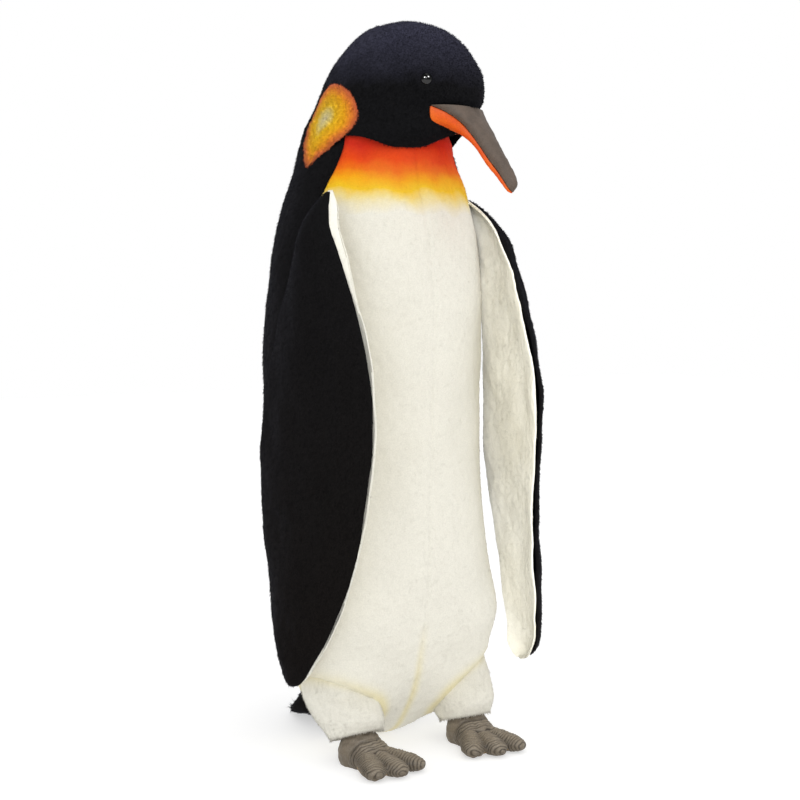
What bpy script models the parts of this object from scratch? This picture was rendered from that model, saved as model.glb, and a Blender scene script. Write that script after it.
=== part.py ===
"""A standing plush penguin, 0.9 m tall: sewn plush panels over stuffing and a bent wire frame.

Metres, +Z up, the penguin faces -Y and its left is +X. It stands on its two feet and the tip of its
tail. Every shape is worked out in the penguin's own frame, whose Z axis runs up the middle of the neck;
an empty then moves the whole penguin so that the origin is under the middle of its bounding box.
"""

import math

import bmesh
import bpy
from mathutils import Matrix, Vector

# --- Where the penguin stands ---------------------------------------------------------------------
STAND_SHIFT = Vector((-0.0111, 0.0128, 0.0))

# --- Cloth and stuffing ---------------------------------------------------------------------------
PLUSH = 0.003            # plush with its pile, pressed
SUEDE = 0.0016           # the cloth of beak and feet
SEAM_GAP = 0.0014        # left between two panels that are sewn together
FILL_GAP = 0.0012        # left between a panel and the stuffing behind it
TOUCH_GAP = 0.0004       # left between any two other pieces that touch

# --- Body, as level sections: height, centre's y, reach to the front, to the back, half width and the
# --- squareness of the front, which bulges into two hips low down ---------------------------------
BODY_SECTIONS = (
    (0.0080, -0.012, 0.014, 0.024, 0.022, 2.0),
    (0.0160, -0.014, 0.028, 0.045, 0.042, 2.0),
    (0.0280, -0.015, 0.041, 0.062, 0.062, 2.1),
    (0.0450, -0.017, 0.052, 0.078, 0.081, 2.3),
    (0.0650, -0.017, 0.066, 0.092, 0.098, 2.5),
    (0.0900, -0.015, 0.079, 0.104, 0.115, 2.8),
    (0.1200, -0.012, 0.091, 0.112, 0.130, 3.0),
    (0.1500, -0.008, 0.102, 0.116, 0.140, 3.1),
    (0.1940, -0.003, 0.114, 0.120, 0.142, 2.7),
    (0.2500, 0.001, 0.120, 0.125, 0.141, 2.3),
    (0.3100, 0.005, 0.126, 0.133, 0.140, 2.1),
    (0.3700, 0.009, 0.132, 0.142, 0.138, 2.0),
    (0.4300, 0.010, 0.135, 0.147, 0.137, 2.0),
    (0.4900, 0.009, 0.138, 0.147, 0.137, 2.0),
    (0.5500, 0.006, 0.138, 0.138, 0.138, 2.0),
    (0.6000, 0.003, 0.129, 0.128, 0.137, 2.0),
    (0.6400, 0.001, 0.117, 0.118, 0.131, 2.0),
    (0.6800, 0.000, 0.106, 0.108, 0.120, 2.0),
    (0.7100, 0.000, 0.099, 0.103, 0.110, 2.0),
    (0.7416, 0.000, 0.096, 0.101, 0.101, 2.0),
)
BODY_BOTTOM = Vector((0.0, 0.012, 0.0050))
NECK_TOP = BODY_SECTIONS[-1][0]

# --- Head, in the same form and facing straight ahead, with the roundness of its front ------------
HEAD_SECTIONS = (
    (0.7424, 0.000, 0.099, 0.101, 0.102, 2.0),
    (0.7480, -0.004, 0.104, 0.103, 0.103, 1.9),
    (0.7560, -0.009, 0.109, 0.106, 0.102, 1.8),
    (0.7660, -0.014, 0.110, 0.109, 0.100, 1.7),
    (0.7810, -0.023, 0.106, 0.111, 0.097, 1.6),
    (0.7920, -0.029, 0.107, 0.111, 0.094, 1.6),
    (0.8030, -0.033, 0.110, 0.111, 0.091, 1.65),
    (0.8180, -0.038, 0.110, 0.110, 0.088, 1.75),
    (0.8370, -0.040, 0.104, 0.104, 0.083, 1.9),
    (0.8550, -0.040, 0.093, 0.092, 0.075, 2.0),
    (0.8740, -0.043, 0.078, 0.078, 0.065, 2.0),
    (0.8890, -0.044, 0.061, 0.061, 0.053, 2.0),
    (0.8995, -0.043, 0.043, 0.043, 0.038, 2.0),
    (0.9055, -0.041, 0.021, 0.021, 0.019, 2.0),
)
HEAD_TOP = Vector((0.0, -0.041, 0.9075))
HEAD_TURN = math.radians(25)   # the head looks to its left at rest

# --- Seams ----------------------------------------------------------------------------------------
# Angle from the front at which white belly plush meets dark back plush, against height
SIDE_SEAM = (
    (0.0080, 122), (0.0450, 118), (0.0900, 110), (0.1500, 96), (0.2500, 84), (0.3700, 78), (0.5500, 73),
    (0.6800, 66), (0.7416, 64),
)
BELLY_STEPS, BACK_STEPS = 5, 6
HEAD_STEPS = 11

# --- Ear patch: outline as forward distance and height, on the side of the head and neck ----------
EAR_OUTLINE = (
    (-0.012, 0.8270), (0.008, 0.8215), (0.025, 0.8090), (0.035, 0.7920), (0.033, 0.7760), (0.020, 0.7610),
    (0.000, 0.7480), (-0.018, 0.7360), (-0.033, 0.7250), (-0.042, 0.7340), (-0.046, 0.7500),
    (-0.047, 0.7700), (-0.043, 0.7900), (-0.034, 0.8100), (-0.023, 0.8220),
)
EAR_CENTRE = (-0.012, 0.7820)
EAR_RINGS = (0.45, 0.8, 1.0)

# --- Eye ------------------------------------------------------------------------------------------
EYE_FORWARD, EYE_HEIGHT = 0.111, 0.8235
EYE_RADIUS, EYE_SHANK_RADIUS, EYE_SHANK_LENGTH = 0.0075, 0.0024, 0.013
WASHER_RADIUS, WASHER_THICKNESS = 0.0085, 0.0016

# --- Beak, rib by rib: (forward, height) of its ridge, seam and underside, and half width at the seam --
BEAK_RIBS = (
    ((0.149, 0.793), (0.110, 0.793), (0.108, 0.768), 0.050),
    ((0.156, 0.780), (0.125, 0.785), (0.119, 0.762), 0.040),
    ((0.162, 0.767), (0.138, 0.774), (0.133, 0.753), 0.029),
    ((0.170, 0.751), (0.151, 0.756), (0.147, 0.740), 0.0205),
    ((0.184, 0.724), (0.169, 0.727), (0.164, 0.716), 0.0145),
    ((0.194, 0.706), (0.183, 0.707), (0.178, 0.699), 0.0105),
    ((0.200, 0.693), (0.193, 0.692), (0.190, 0.686), 0.0070),
)
BEAK_TIP = (0.1975, 0.684)

# --- Flipper, as a flat blade hanging from its shoulder seam: distance down, rear edge, front edge 
FLIPPER_OUTLINE = (
    (0.000, 0.000, 0.010), (0.015, -0.003, 0.016), (0.030, -0.008, 0.024), (0.065, -0.017, 0.043),
    (0.115, -0.033, 0.070), (0.175, -0.049, 0.098), (0.235, -0.060, 0.115), (0.300, -0.063, 0.122),
    (0.360, -0.058, 0.118), (0.420, -0.045, 0.111), (0.480, -0.029, 0.095), (0.535, -0.015, 0.071),
    (0.575, -0.004, 0.048), (0.595, 0.004, 0.031), (0.6035, 0.010, 0.021),
)
FLIPPER_TIP = (0.606, 0.006)
FLIPPER_HALF_THICKNESS = 0.009
FLIPPER_EDGE = 0.0020            # half the thickness of the blade's sewn edge
BLADE_STEPS = 8                  # faces across the blade
FLIPPER_BOW = 0.015              # how far the blade's middle stands out past its edges
FLIPPER_SHOULDER = {"left": Vector((0.128, -0.053, 0.690)), "right": Vector((-0.128, -0.068, 0.697))}
FLIPPER_HANG = {"left": math.radians(5.3), "right": math.radians(3)}
FLIPPER_YAW = {"left": math.radians(11), "right": math.radians(13)}   # front edge towards the belly
FLIPPER_SWEEP = {"left": 0.0, "right": math.radians(2)}               # tip to the rear
SIDES = {"left": 1, "right": -1}

# --- Leg: level ovals from the ankle up into the hip (side, forward, height, half width, half length) 
LEG_SECTIONS = (
    (0.0795, 0.087, 0.0310, 0.0300, 0.0300),
    (0.0810, 0.079, 0.0400, 0.0350, 0.0390),
    (0.0830, 0.068, 0.0580, 0.0380, 0.0460),
    (0.0845, 0.060, 0.0850, 0.0385, 0.0490),
    (0.0850, 0.052, 0.1150, 0.0380, 0.0470),
    (0.0850, 0.046, 0.1450, 0.0330, 0.0400),
    (0.0850, 0.042, 0.1700, 0.0200, 0.0240),
)
LEG_TOP = (0.0850, 0.040, 0.1780)

# --- Foot, about its ankle ------------------------------------------------------------------------
ANKLE = (0.0795, 0.087)
TOE_IN = math.radians(6)
TOE_ANGLES = (math.radians(-22.5), 0.0, math.radians(22.5))
TOE_LENGTHS = (0.076, 0.078, 0.078)
TOE_RADIUS, HEEL_RADIUS = 0.0148, 0.032
FOOT_HEIGHT, TOE_HEIGHT = 0.0300, 0.0170
SOLE_THICKNESS = 0.0025
BOARD_THICKNESS, BOARD_INSET = 0.0030, 0.0060

# --- Tail: sections from the rump to its tip on the floor (forward, height, half width, half depth) 
TAIL_SECTIONS = (
    (-0.012, 0.096, 0.055, 0.026), (-0.045, 0.068, 0.070, 0.028), (-0.062, 0.048, 0.075, 0.024),
    (-0.080, 0.030, 0.077, 0.020), (-0.100, 0.0165, 0.074, 0.0145), (-0.122, 0.0080, 0.062, 0.0110),
    (-0.138, 0.0055, 0.045, 0.0080),
)
TAIL_TIP = (-0.148, 0.0040)
TAIL_SLOPE = math.radians(45)

# --- Wire frame -----------------------------------------------------------------------------------
WIRE = 0.0030            # radius of the frame's wire
THIN_WIRE = 0.0015       # radius of the flippers' wire
WIRE_ROOM = 0.0008       # clearance between a wire and the stuffing round it
FLIPPER_WIRE_DOWNS = (0.012, 0.065, 0.13, 0.22, 0.34, 0.46, 0.52)
SPINE_BOTTOM, SPINE_TOP = 0.112, 0.7395
NECK_WIRE_BOTTOM, NECK_WIRE_TOP = 0.7445, 0.855
YOKE_HEIGHT = 0.105
SHOULDER_WIRE_HEIGHT = 0.690

RING_STEPS = 16          # points round a leg or a tail section
CUTTER_REACH = 0.05      # how far a cutter runs past what it cuts

SCENE = bpy.context.scene


# --- Scene, collections and materials -------------------------------------------------------------
def clear_scene():
    for obj in list(bpy.data.objects):
        bpy.data.objects.remove(obj, do_unlink=True)


def collection(name):
    made = bpy.data.collections.new(name)
    SCENE.collection.children.link(made)
    return made


def material(name, colour, roughness, metallic=0.0):
    made = bpy.data.materials.new(name)
    made.use_nodes = True
    shader = made.node_tree.nodes["Principled BSDF"]
    shader.inputs["Base Color"].default_value = (*colour, 1.0)
    shader.inputs["Roughness"].default_value = roughness
    shader.inputs["Metallic"].default_value = metallic
    made.diffuse_color = (*colour, 1.0)
    return made


clear_scene()
PARTS = collection("plush_penguin")
CUTTERS = collection("cutters")

DARK_PLUSH = material("dark_plush", (0.014, 0.015, 0.028), 0.95)
WHITE_PLUSH = material("white_plush", (0.86, 0.85, 0.78), 0.95)
EAR_PLUSH = material("ear_plush", (0.95, 0.55, 0.05), 0.95)
BEAK_GREY = material("beak_grey", (0.19, 0.17, 0.14), 0.7)
BEAK_ORANGE = material("beak_orange", (0.90, 0.20, 0.01), 0.6)
FOOT_SUEDE = material("foot_suede", (0.24, 0.20, 0.14), 0.6)
STUFFING = material("stuffing", (0.90, 0.90, 0.88), 1.0)
STEEL = material("steel_wire", (0.55, 0.55, 0.56), 0.35, 1.0)
GLOSS_BLACK = material("gloss_black", (0.004, 0.004, 0.004), 0.08)
WASHER_NYLON = material("washer_nylon", (0.80, 0.80, 0.78), 0.5)
BOARD = material("fibre_board", (0.36, 0.25, 0.14), 0.8)


def empty(name, location=(0, 0, 0), parent=None, rotation=(0, 0, 0)):
    made = bpy.data.objects.new(name, None)
    made.location = location
    made.rotation_euler = rotation
    made.parent = parent
    PARTS.objects.link(made)
    return made


STAND = empty("penguin_stand", STAND_SHIFT)
HEAD_PIVOT = empty("head_pivot", (0, 0, NECK_TOP), STAND, (0, 0, HEAD_TURN))


# --- Numbers --------------------------------------------------------------------------------------
def smooth_value(stations, at):
    """The stations' columns at this height: a cubic through them, level with the chord of its neighbours."""
    at = min(max(at, stations[0][0]), stations[-1][0])
    last = len(stations) - 1
    i = max(k for k in range(last) if stations[k][0] <= at or k == 0)
    near = [stations[min(max(k, 0), last)] for k in (i - 1, i, i + 1, i + 2)]
    span = near[2][0] - near[1][0]
    share = (at - near[1][0]) / span

    def slope(before, after, column):
        return (after[column] - before[column]) / (after[0] - before[0]) * span

    found = []
    for column in range(1, len(near[0])):
        start, end = near[1][column], near[2][column]
        leave, arrive = slope(near[0], near[2], column), slope(near[1], near[3], column)
        found.append(
            start * (2 * share**3 - 3 * share**2 + 1)
            + leave * (share**3 - 2 * share**2 + share)
            + end * (3 * share**2 - 2 * share**3)
            + arrive * (share**3 - share**2)
        )
    return found


def signed_power(value, power):
    return math.copysign(abs(value) ** power, value)


def section_point(values, height, angle):
    """The point of a level section at this angle from the front, positive towards the penguin's left."""
    centre, front, back, half, roundness = values
    if math.cos(angle) <= 0:
        roundness = 2.0
    reach = front if math.cos(angle) > 0 else back
    x = half * signed_power(math.sin(angle), 2 / roundness)
    y = centre - reach * signed_power(math.cos(angle), 2 / roundness)
    return Vector((x, y, height))


def body_point(height, angle):
    return section_point(smooth_value(BODY_SECTIONS, height), height, angle)


def head_point(height, angle):
    return section_point(smooth_value(HEAD_SECTIONS, height), height, angle)


def side_of_head(forward, height):
    """How far out the head or, below it, the neck reaches at this forward distance and height."""
    if height >= HEAD_SECTIONS[0][0]:
        centre, front, back, half, roundness = smooth_value(HEAD_SECTIONS, height)
    else:
        centre, front, back, half, roundness = smooth_value(BODY_SECTIONS, height)
    ahead = forward + centre
    share = ahead / front if ahead > 0 else -ahead / back
    power = roundness if ahead > 0 else 2.0
    return half * (1 - min(share, 1.0) ** power) ** (1 / power)


def seam_angle(height):
    return math.radians(smooth_value(SIDE_SEAM, height)[0])


def spread(start, end, steps):
    return [start + (end - start) * i / steps for i in range(steps + 1)]


# --- Meshes ---------------------------------------------------------------------------------------
def mesh_object(name, bm, look, parent=None, home=PARTS):
    bmesh.ops.recalc_face_normals(bm, faces=bm.faces[:])
    mesh = bpy.data.meshes.new(name)
    bm.to_mesh(mesh)
    bm.free()
    mesh.shade_smooth()
    mesh.materials.append(look)
    made = bpy.data.objects.new(name, mesh)
    made.parent = parent
    home.objects.link(made)
    return made


def loft(rings, start=None, end=None):
    """A closed bmesh through rings of equal length, each end closed on a point or, without one, flat."""
    bm = bmesh.new()
    rows = [[bm.verts.new(point) for point in ring] for ring in rings]
    count = len(rows[0])
    for low, high in zip(rows, rows[1:]):
        for i in range(count):
            j = (i + 1) % count
            bm.faces.new((low[i], low[j], high[j], high[i]))
    for row, tip in ((rows[0], start), (rows[-1], end)):
        if tip is None:
            bm.faces.new(row)
            continue
        point = bm.verts.new(tip)
        for i in range(count):
            bm.faces.new((row[i], row[(i + 1) % count], point))
    return bm


def sheet(rows, tip=None):
    """An open bmesh through rows of equal length, closed at its last row on a point if there is one."""
    bm = bmesh.new()
    grid = [[bm.verts.new(point) for point in row] for row in rows]
    for low, high in zip(grid, grid[1:]):
        for i in range(len(low) - 1):
            bm.faces.new((low[i], low[i + 1], high[i + 1], high[i]))
    if tip is not None:
        point = bm.verts.new(tip)
        for i in range(len(grid[-1]) - 1):
            bm.faces.new((grid[-1][i], grid[-1][i + 1], point))
    return bm


def grow(bm, distance):
    """Moves every point of a closed bmesh out along its normal, or in where the distance is negative."""
    bmesh.ops.recalc_face_normals(bm, faces=bm.faces[:])
    bm.normal_update()
    moved = [(vertex, vertex.co + vertex.normal * distance) for vertex in bm.verts]
    for vertex, place in moved:
        vertex.co = place
    return bm


def thicken(obj, thickness, outward):
    """Gives a sheet its thickness on the side away from the outward direction of its first face."""
    normal = obj.data.polygons[0].normal
    solidify = obj.modifiers.new("thickness", "SOLIDIFY")
    solidify.thickness = thickness
    solidify.offset = -1.0 if normal.dot(outward) > 0 else 1.0
    solidify.use_even_offset = True
    return obj


def cut(obj, cutter):
    boolean = obj.modifiers.new("cut_" + cutter.name, "BOOLEAN")
    boolean.operation = "DIFFERENCE"
    boolean.object = cutter
    return obj


def as_cutter(obj):
    obj.hide_render = True
    obj.display_type = "WIRE"
    return obj


def cutter_mesh(name, bm, parent=STAND):
    return as_cutter(mesh_object(name, bm, STUFFING, parent, CUTTERS))


def cylinder(name, radius, length, place, direction, look, parent=STAND, home=PARTS, segments=20):
    """A cylinder centred on a place, along a direction."""
    bm = bmesh.new()
    bmesh.ops.create_cone(
        bm, cap_ends=True, segments=segments, radius1=radius, radius2=radius, depth=length
    )
    made = mesh_object(name, bm, look, parent, home)
    made.location = place
    made.rotation_euler = Vector(direction).to_track_quat("Z", "Y").to_euler()
    return made


def wire(name, points, radius, parent=STAND, look=STEEL, home=PARTS):
    """A round wire along straight runs, with closed ends."""
    curve = bpy.data.curves.new(name, "CURVE")
    curve.dimensions = "3D"
    curve.bevel_depth = radius
    curve.bevel_resolution = 2
    curve.use_fill_caps = True
    spline = curve.splines.new("POLY")
    spline.points.add(len(points) - 1)
    for point, place in zip(spline.points, points):
        point.co = (*place, 1.0)
    curve.materials.append(look)
    made = bpy.data.objects.new(name, curve)
    made.parent = parent
    home.objects.link(made)
    return made


def wire_room(name, points, radius, parent=STAND):
    """The cutter that leaves room for a wire in the stuffing: the same wire, thicker, as a closed mesh."""
    points = [Vector(point) for point in points]
    points[0] += (points[0] - points[1]).normalized() * 2 * WIRE_ROOM
    points[-1] += (points[-1] - points[-2]).normalized() * 2 * WIRE_ROOM
    guide = wire(name + "_guide", points, radius + WIRE_ROOM, parent, STUFFING, CUTTERS)
    bpy.context.view_layer.update()
    graph = bpy.context.evaluated_depsgraph_get()
    mesh = bpy.data.meshes.new_from_object(guide.evaluated_get(graph), depsgraph=graph)
    bm = bmesh.new()
    bm.from_mesh(mesh)
    bmesh.ops.remove_doubles(bm, verts=bm.verts[:], dist=1e-5)
    made = cutter_mesh(name, bm, parent)
    bpy.data.objects.remove(guide, do_unlink=True)
    return made


def half_space(name, side, parent):
    """A block over the other half of the penguin, which trims a panel at the seam down the middle."""
    bm = bmesh.new()
    bmesh.ops.create_cube(bm, size=1.0)
    bmesh.ops.scale(bm, vec=(0.3, 0.6, 2.2), verts=bm.verts[:])
    bmesh.ops.translate(bm, vec=(side * (SEAM_GAP / 2 - 0.15), 0, 0), verts=bm.verts[:])
    return cutter_mesh(name, bm, parent)


def level_block(name, low, high, parent):
    """A block across everything between two levels."""
    bm = bmesh.new()
    bmesh.ops.create_cube(bm, size=1.0)
    bmesh.ops.scale(bm, vec=(0.6, 0.6, high - low), verts=bm.verts[:])
    bmesh.ops.translate(bm, vec=(0, 0, (low + high) / 2), verts=bm.verts[:])
    return cutter_mesh(name, bm, parent)


# --- Body -----------------------------------------------------------------------------------------
def body_heights():
    return [section[0] for section in BODY_SECTIONS]


def ring_angles(height):
    """Angles round a body section, from the front by the left, laid out so that panels and stuffing agree."""
    seam = seam_angle(height)
    half = spread(0, seam, BELLY_STEPS) + spread(seam, math.pi, BACK_STEPS)[1:]
    return half + [2 * math.pi - angle for angle in reversed(half[1:-1])]


def body_loft():
    rings = [[body_point(z, angle) for angle in ring_angles(z)] for z in body_heights()]
    return loft(rings, start=BODY_BOTTOM)


def body_panel(name, side, look, back):
    """A belly or back panel on one side, from the base to the neck, stopping short of its seams."""
    rows = []
    for z in body_heights():
        seam = seam_angle(z)
        start, end, steps = (seam, math.pi, BACK_STEPS) if back else (0, seam, BELLY_STEPS)
        gap = SEAM_GAP / 2 / smooth_value(BODY_SECTIONS, z)[3]
        angles = spread(start, end, steps)
        angles[0 if back else -1] += gap if back else -gap
        rows.append([body_point(z, side * angle) for angle in angles])
    outward = rows[len(rows) // 2][0] - Vector((0, 0, rows[len(rows) // 2][0].z))
    panel = mesh_object(name, sheet(rows), look, STAND)
    return thicken(panel, PLUSH, face_outward(panel, outward))


def face_outward(obj, fallback):
    """The direction away from the neck axis at an object's first face."""
    centre = obj.data.polygons[0].center
    flat = Vector((centre.x, centre.y, 0))
    return flat if flat.length > 0 else fallback


def build_body():
    for name, side in SIDES.items():
        belly = body_panel("belly_panel_" + name, side, WHITE_PLUSH, back=False)
        back = body_panel("back_panel_" + name, side, DARK_PLUSH, back=True)
        for panel in (belly, back):
            cut(panel, LEG_HOLE[name])
            cut(panel, TAIL_HOLE)
            cut(panel, SHOULDER_HOLE)
            cut(panel, BODY_HALF[name])
            cut(panel, ABOVE_NECK)
    stuffing = mesh_object("torso_stuffing", grow(body_loft(), -(PLUSH + FILL_GAP)), STUFFING, STAND)
    for room in FRAME_ROOMS:
        cut(stuffing, room)
    return stuffing


# --- Head -----------------------------------------------------------------------------------------
def head_local(point):
    """A point of the head's shape, as seen from the pivot empty at the top of the neck."""
    return Vector(point) - Vector((0, 0, NECK_TOP))


def head_rows(angles):
    return [[head_local(head_point(section[0], angle)) for angle in angles] for section in HEAD_SECTIONS]


def head_loft():
    angles = spread(0, 2 * math.pi, 2 * HEAD_STEPS)[:-1]
    return loft(head_rows(angles), end=head_local(HEAD_TOP))


def head_panel(name, side):
    """One half of the head's dark plush, from the forehead seam round to the nape seam."""
    bm = sheet(head_rows([side * angle for angle in spread(0, math.pi, HEAD_STEPS)]), head_local(HEAD_TOP))
    panel = mesh_object(name, bm, DARK_PLUSH, HEAD_PIVOT)
    return thicken(panel, PLUSH, face_outward(panel, Vector((side, 0, 0))))


def ear_patch(name, side):
    """A padded plush patch that lies on the side of the head and hangs a little over the neck."""
    def place(forward, height):
        neck_room = 0.5 * PLUSH
        out = side_of_head(forward, height) + neck_room
        return head_local((side * out, -forward, height))

    centre_forward, centre_height = EAR_CENTRE
    bm = bmesh.new()
    middle = bm.verts.new(place(*EAR_CENTRE))
    inner = None
    for scale in EAR_RINGS:
        ring = [
            bm.verts.new(
                place(
                    centre_forward + (forward - centre_forward) * scale,
                    centre_height + (height - centre_height) * scale,
                )
            )
            for forward, height in EAR_OUTLINE
        ]
        for i in range(len(ring)):
            j = (i + 1) % len(ring)
            inside = (middle,) if inner is None else (inner[j], inner[i])
            bm.faces.new((ring[i], ring[j], *inside))
        inner = ring
    patch = mesh_object(name, bm, EAR_PLUSH, HEAD_PIVOT)
    outward = Vector((side, 0, 0))
    thicken(patch, PLUSH, -outward)
    return patch


def eye_frame(side):
    """Where an eye sits on the head, and the direction that it faces."""
    out = side_of_head(EYE_FORWARD, EYE_HEIGHT)
    step = 0.004
    ahead = Vector((side * side_of_head(EYE_FORWARD + step, EYE_HEIGHT), -EYE_FORWARD - step, EYE_HEIGHT))
    above = Vector((side * side_of_head(EYE_FORWARD, EYE_HEIGHT + step), -EYE_FORWARD, EYE_HEIGHT + step))
    place = Vector((side * out, -EYE_FORWARD, EYE_HEIGHT))
    normal = (above - place).cross(ahead - place).normalized() * side
    return head_local(place), normal


def build_eye(name, side):
    """A domed safety eye whose shank goes through the plush, and the washer that locks it inside."""
    place, outward = eye_frame(side)
    bm = bmesh.new()
    bmesh.ops.create_uvsphere(bm, u_segments=16, v_segments=10, radius=EYE_RADIUS)
    bmesh.ops.scale(bm, vec=(1, 1, 0.62), verts=bm.verts[:])
    bmesh.ops.bisect_plane(
        bm, geom=bm.verts[:] + bm.edges[:] + bm.faces[:], plane_co=(0, 0, 0), plane_no=(0, 0, -1),
        clear_outer=True,
    )
    bmesh.ops.holes_fill(bm, edges=bm.edges[:])
    eye = mesh_object("eye_" + name, bm, GLOSS_BLACK, HEAD_PIVOT)
    eye.rotation_euler = outward.to_track_quat("Z", "Y").to_euler()
    eye.location = place - outward * TOUCH_GAP * 2
    shank_centre = eye.location - outward * (EYE_SHANK_LENGTH / 2 - 0.001)
    shank = cylinder(
        "eye_shank_" + name, EYE_SHANK_RADIUS, EYE_SHANK_LENGTH, shank_centre, outward, GLOSS_BLACK,
        HEAD_PIVOT, CUTTERS, 12,
    )
    as_cutter(shank)
    join = eye.modifiers.new("shank", "BOOLEAN")
    join.operation = "UNION"
    join.object = shank
    washer_centre = place - outward * (PLUSH + 2 * FILL_GAP + WASHER_THICKNESS)
    washer = cylinder(
        "eye_washer_" + name, WASHER_RADIUS, WASHER_THICKNESS, washer_centre, outward, WASHER_NYLON,
        HEAD_PIVOT, PARTS, 16,
    )
    hole = cylinder(
        "eye_hole_" + name, EYE_SHANK_RADIUS + TOUCH_GAP, CUTTER_REACH, place, outward, STUFFING,
        HEAD_PIVOT, CUTTERS, 12,
    )
    pocket = cylinder(
        "eye_pocket_" + name, WASHER_RADIUS + TOUCH_GAP * 3, EYE_SHANK_LENGTH * 2 + 0.008, place, outward,
        STUFFING, HEAD_PIVOT, CUTTERS, 16,
    )
    seat = cylinder(
        "eye_seat_" + name, EYE_RADIUS + TOUCH_GAP, CUTTER_REACH,
        eye.location + outward * (CUTTER_REACH / 2 - 2 * TOUCH_GAP), outward, STUFFING, HEAD_PIVOT, CUTTERS,
    )
    cut(washer, as_cutter(hole))
    return hole, as_cutter(seat), as_cutter(pocket)


def build_head():
    stuffing = mesh_object("head_stuffing", grow(head_loft(), -(PLUSH + 2 * FILL_GAP)), STUFFING, HEAD_PIVOT)
    lift_low_rim(stuffing)
    cut(stuffing, NECK_ROOM)
    for name, side in SIDES.items():
        panel = head_panel("head_panel_" + name, side)
        ear_patch("ear_patch_" + name, side)
        hole, seat, pocket = build_eye(name, side)
        cut(panel, hole)
        cut(panel, seat)
        cut(panel, HEAD_HALF[name])
        cut(panel, BELOW_HEAD)
        cut(stuffing, pocket)


def lift_low_rim(stuffing):
    """Keeps the head's stuffing above the level at which it turns on the neck."""
    floor = HEAD_SECTIONS[0][0] - NECK_TOP + FILL_GAP
    for vertex in stuffing.data.vertices:
        vertex.co.z = max(vertex.co.z, floor)


# --- Beak -----------------------------------------------------------------------------------------
def beak_arch(rib, upper, steps, inset=0.0):
    """Points of one rib from its left seam to its right, over the ridge or round the underside."""
    ridge, seam, under, half = rib
    apex = ridge if upper else under
    middle = Vector((0, -seam[0], seam[1]))
    rise = Vector((0, -apex[0], apex[1])) - middle
    half -= inset
    if inset:
        rise *= max(1 - inset / rise.length, 0.2)
    points = []
    for angle in spread(0, math.pi, steps):
        points.append(head_local(middle + Vector((half * math.cos(angle), 0, 0)) + rise * math.sin(angle)))
    return points


def beak_shell(name, upper, look, steps):
    """One side of the beak's suede, from the gape to the tip, stopping short of the seam between them."""
    rings = []
    for rib in BEAK_RIBS:
        ridge, seam, under, _ = rib
        apex = ridge if upper else under
        away = Vector((0, seam[0] - apex[0], apex[1] - seam[1])).normalized() * SEAM_GAP / 2
        skin = beak_arch(rib, upper, steps)
        lining = beak_arch(rib, upper, steps, SUEDE)
        rings.append([point + away for point in skin + lining[::-1]])
    tip = head_local((0, -BEAK_TIP[0], BEAK_TIP[1])) + away
    cut(mesh_object(name, loft(rings, end=tip), look, HEAD_PIVOT), HEAD_OUTSIDE)


def build_beak():
    beak_shell("beak_upper", True, BEAK_GREY, 10)
    beak_shell("beak_lower", False, BEAK_ORANGE, 8)
    rings = []
    for rib in BEAK_RIBS[:-1]:
        over = beak_arch(rib, True, 10, SUEDE + FILL_GAP)
        below = beak_arch(rib, False, 8, SUEDE + FILL_GAP)
        rings.append(over + below[-2:0:-1])
    first, last = (sum(ring, Vector()) / len(ring) for ring in (rings[0], rings[-1]))
    core = mesh_object("beak_stuffing", loft(rings, first, last), STUFFING, HEAD_PIVOT)
    cut(core, HEAD_OUTSIDE)


# --- Flippers -------------------------------------------------------------------------------------
def blade_point(down, edge_share, depth, narrow=0.0):
    """A point of the blade: down its length, across from its rear edge at -1 to its front edge at 1, and
    this far out of its bowed middle surface. x is outward, -y is forward and z is up, from the shoulder."""
    rear, front = smooth_value(FLIPPER_OUTLINE, down)
    middle, half = (front + rear) / 2, (front - rear) / 2 - narrow
    across = math.sin(edge_share * math.pi / 2)
    return Vector((FLIPPER_BOW * (1 - across**2) + depth, -(middle + half * across), -down))


def blade_depth(down, edge_share):
    """Half the blade's thickness there: full in the middle, a seam's thickness at the edges and the tip."""
    fullness = min(1.0, (FLIPPER_TIP[0] - down) / 0.06, (down + 0.05) / 0.12)
    return FLIPPER_EDGE + FLIPPER_HALF_THICKNESS * fullness * math.cos(edge_share * math.pi / 2)


def flipper_downs():
    return [station[0] for station in FLIPPER_OUTLINE]


def flipper_empty(name, side):
    """The shoulder seam, turned so that the blade hangs as it should."""
    pivot = empty("flipper_pivot_" + name, FLIPPER_SHOULDER[name], STAND)
    turn = Matrix.Rotation(-side * FLIPPER_HANG[name], 4, "Y")
    turn @= Matrix.Rotation(FLIPPER_SWEEP[name], 4, "X")
    turn @= Matrix.Rotation(-side * FLIPPER_YAW[name], 4, "Z")
    pivot.rotation_euler = turn.to_euler()
    return pivot


def mirrored(point, side):
    return Vector((side * point.x, point.y, point.z))


def flipper_half(name, side, face, look, pivot):
    """One face of the blade, from its outer skin in to the seam or to the stuffing."""
    rings = []
    for down in flipper_downs():
        skin, lining = [], []
        for share in spread(-1, 1, BLADE_STEPS):
            depth = blade_depth(down, share)
            inner = max(depth - PLUSH, SEAM_GAP / 2)
            skin.append(mirrored(blade_point(down, share, face * depth), side))
            lining.append(mirrored(blade_point(down, share, face * inner), side))
        rings.append(skin + lining[::-1])
    return mesh_object(name, loft(rings), look, pivot)


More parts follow.
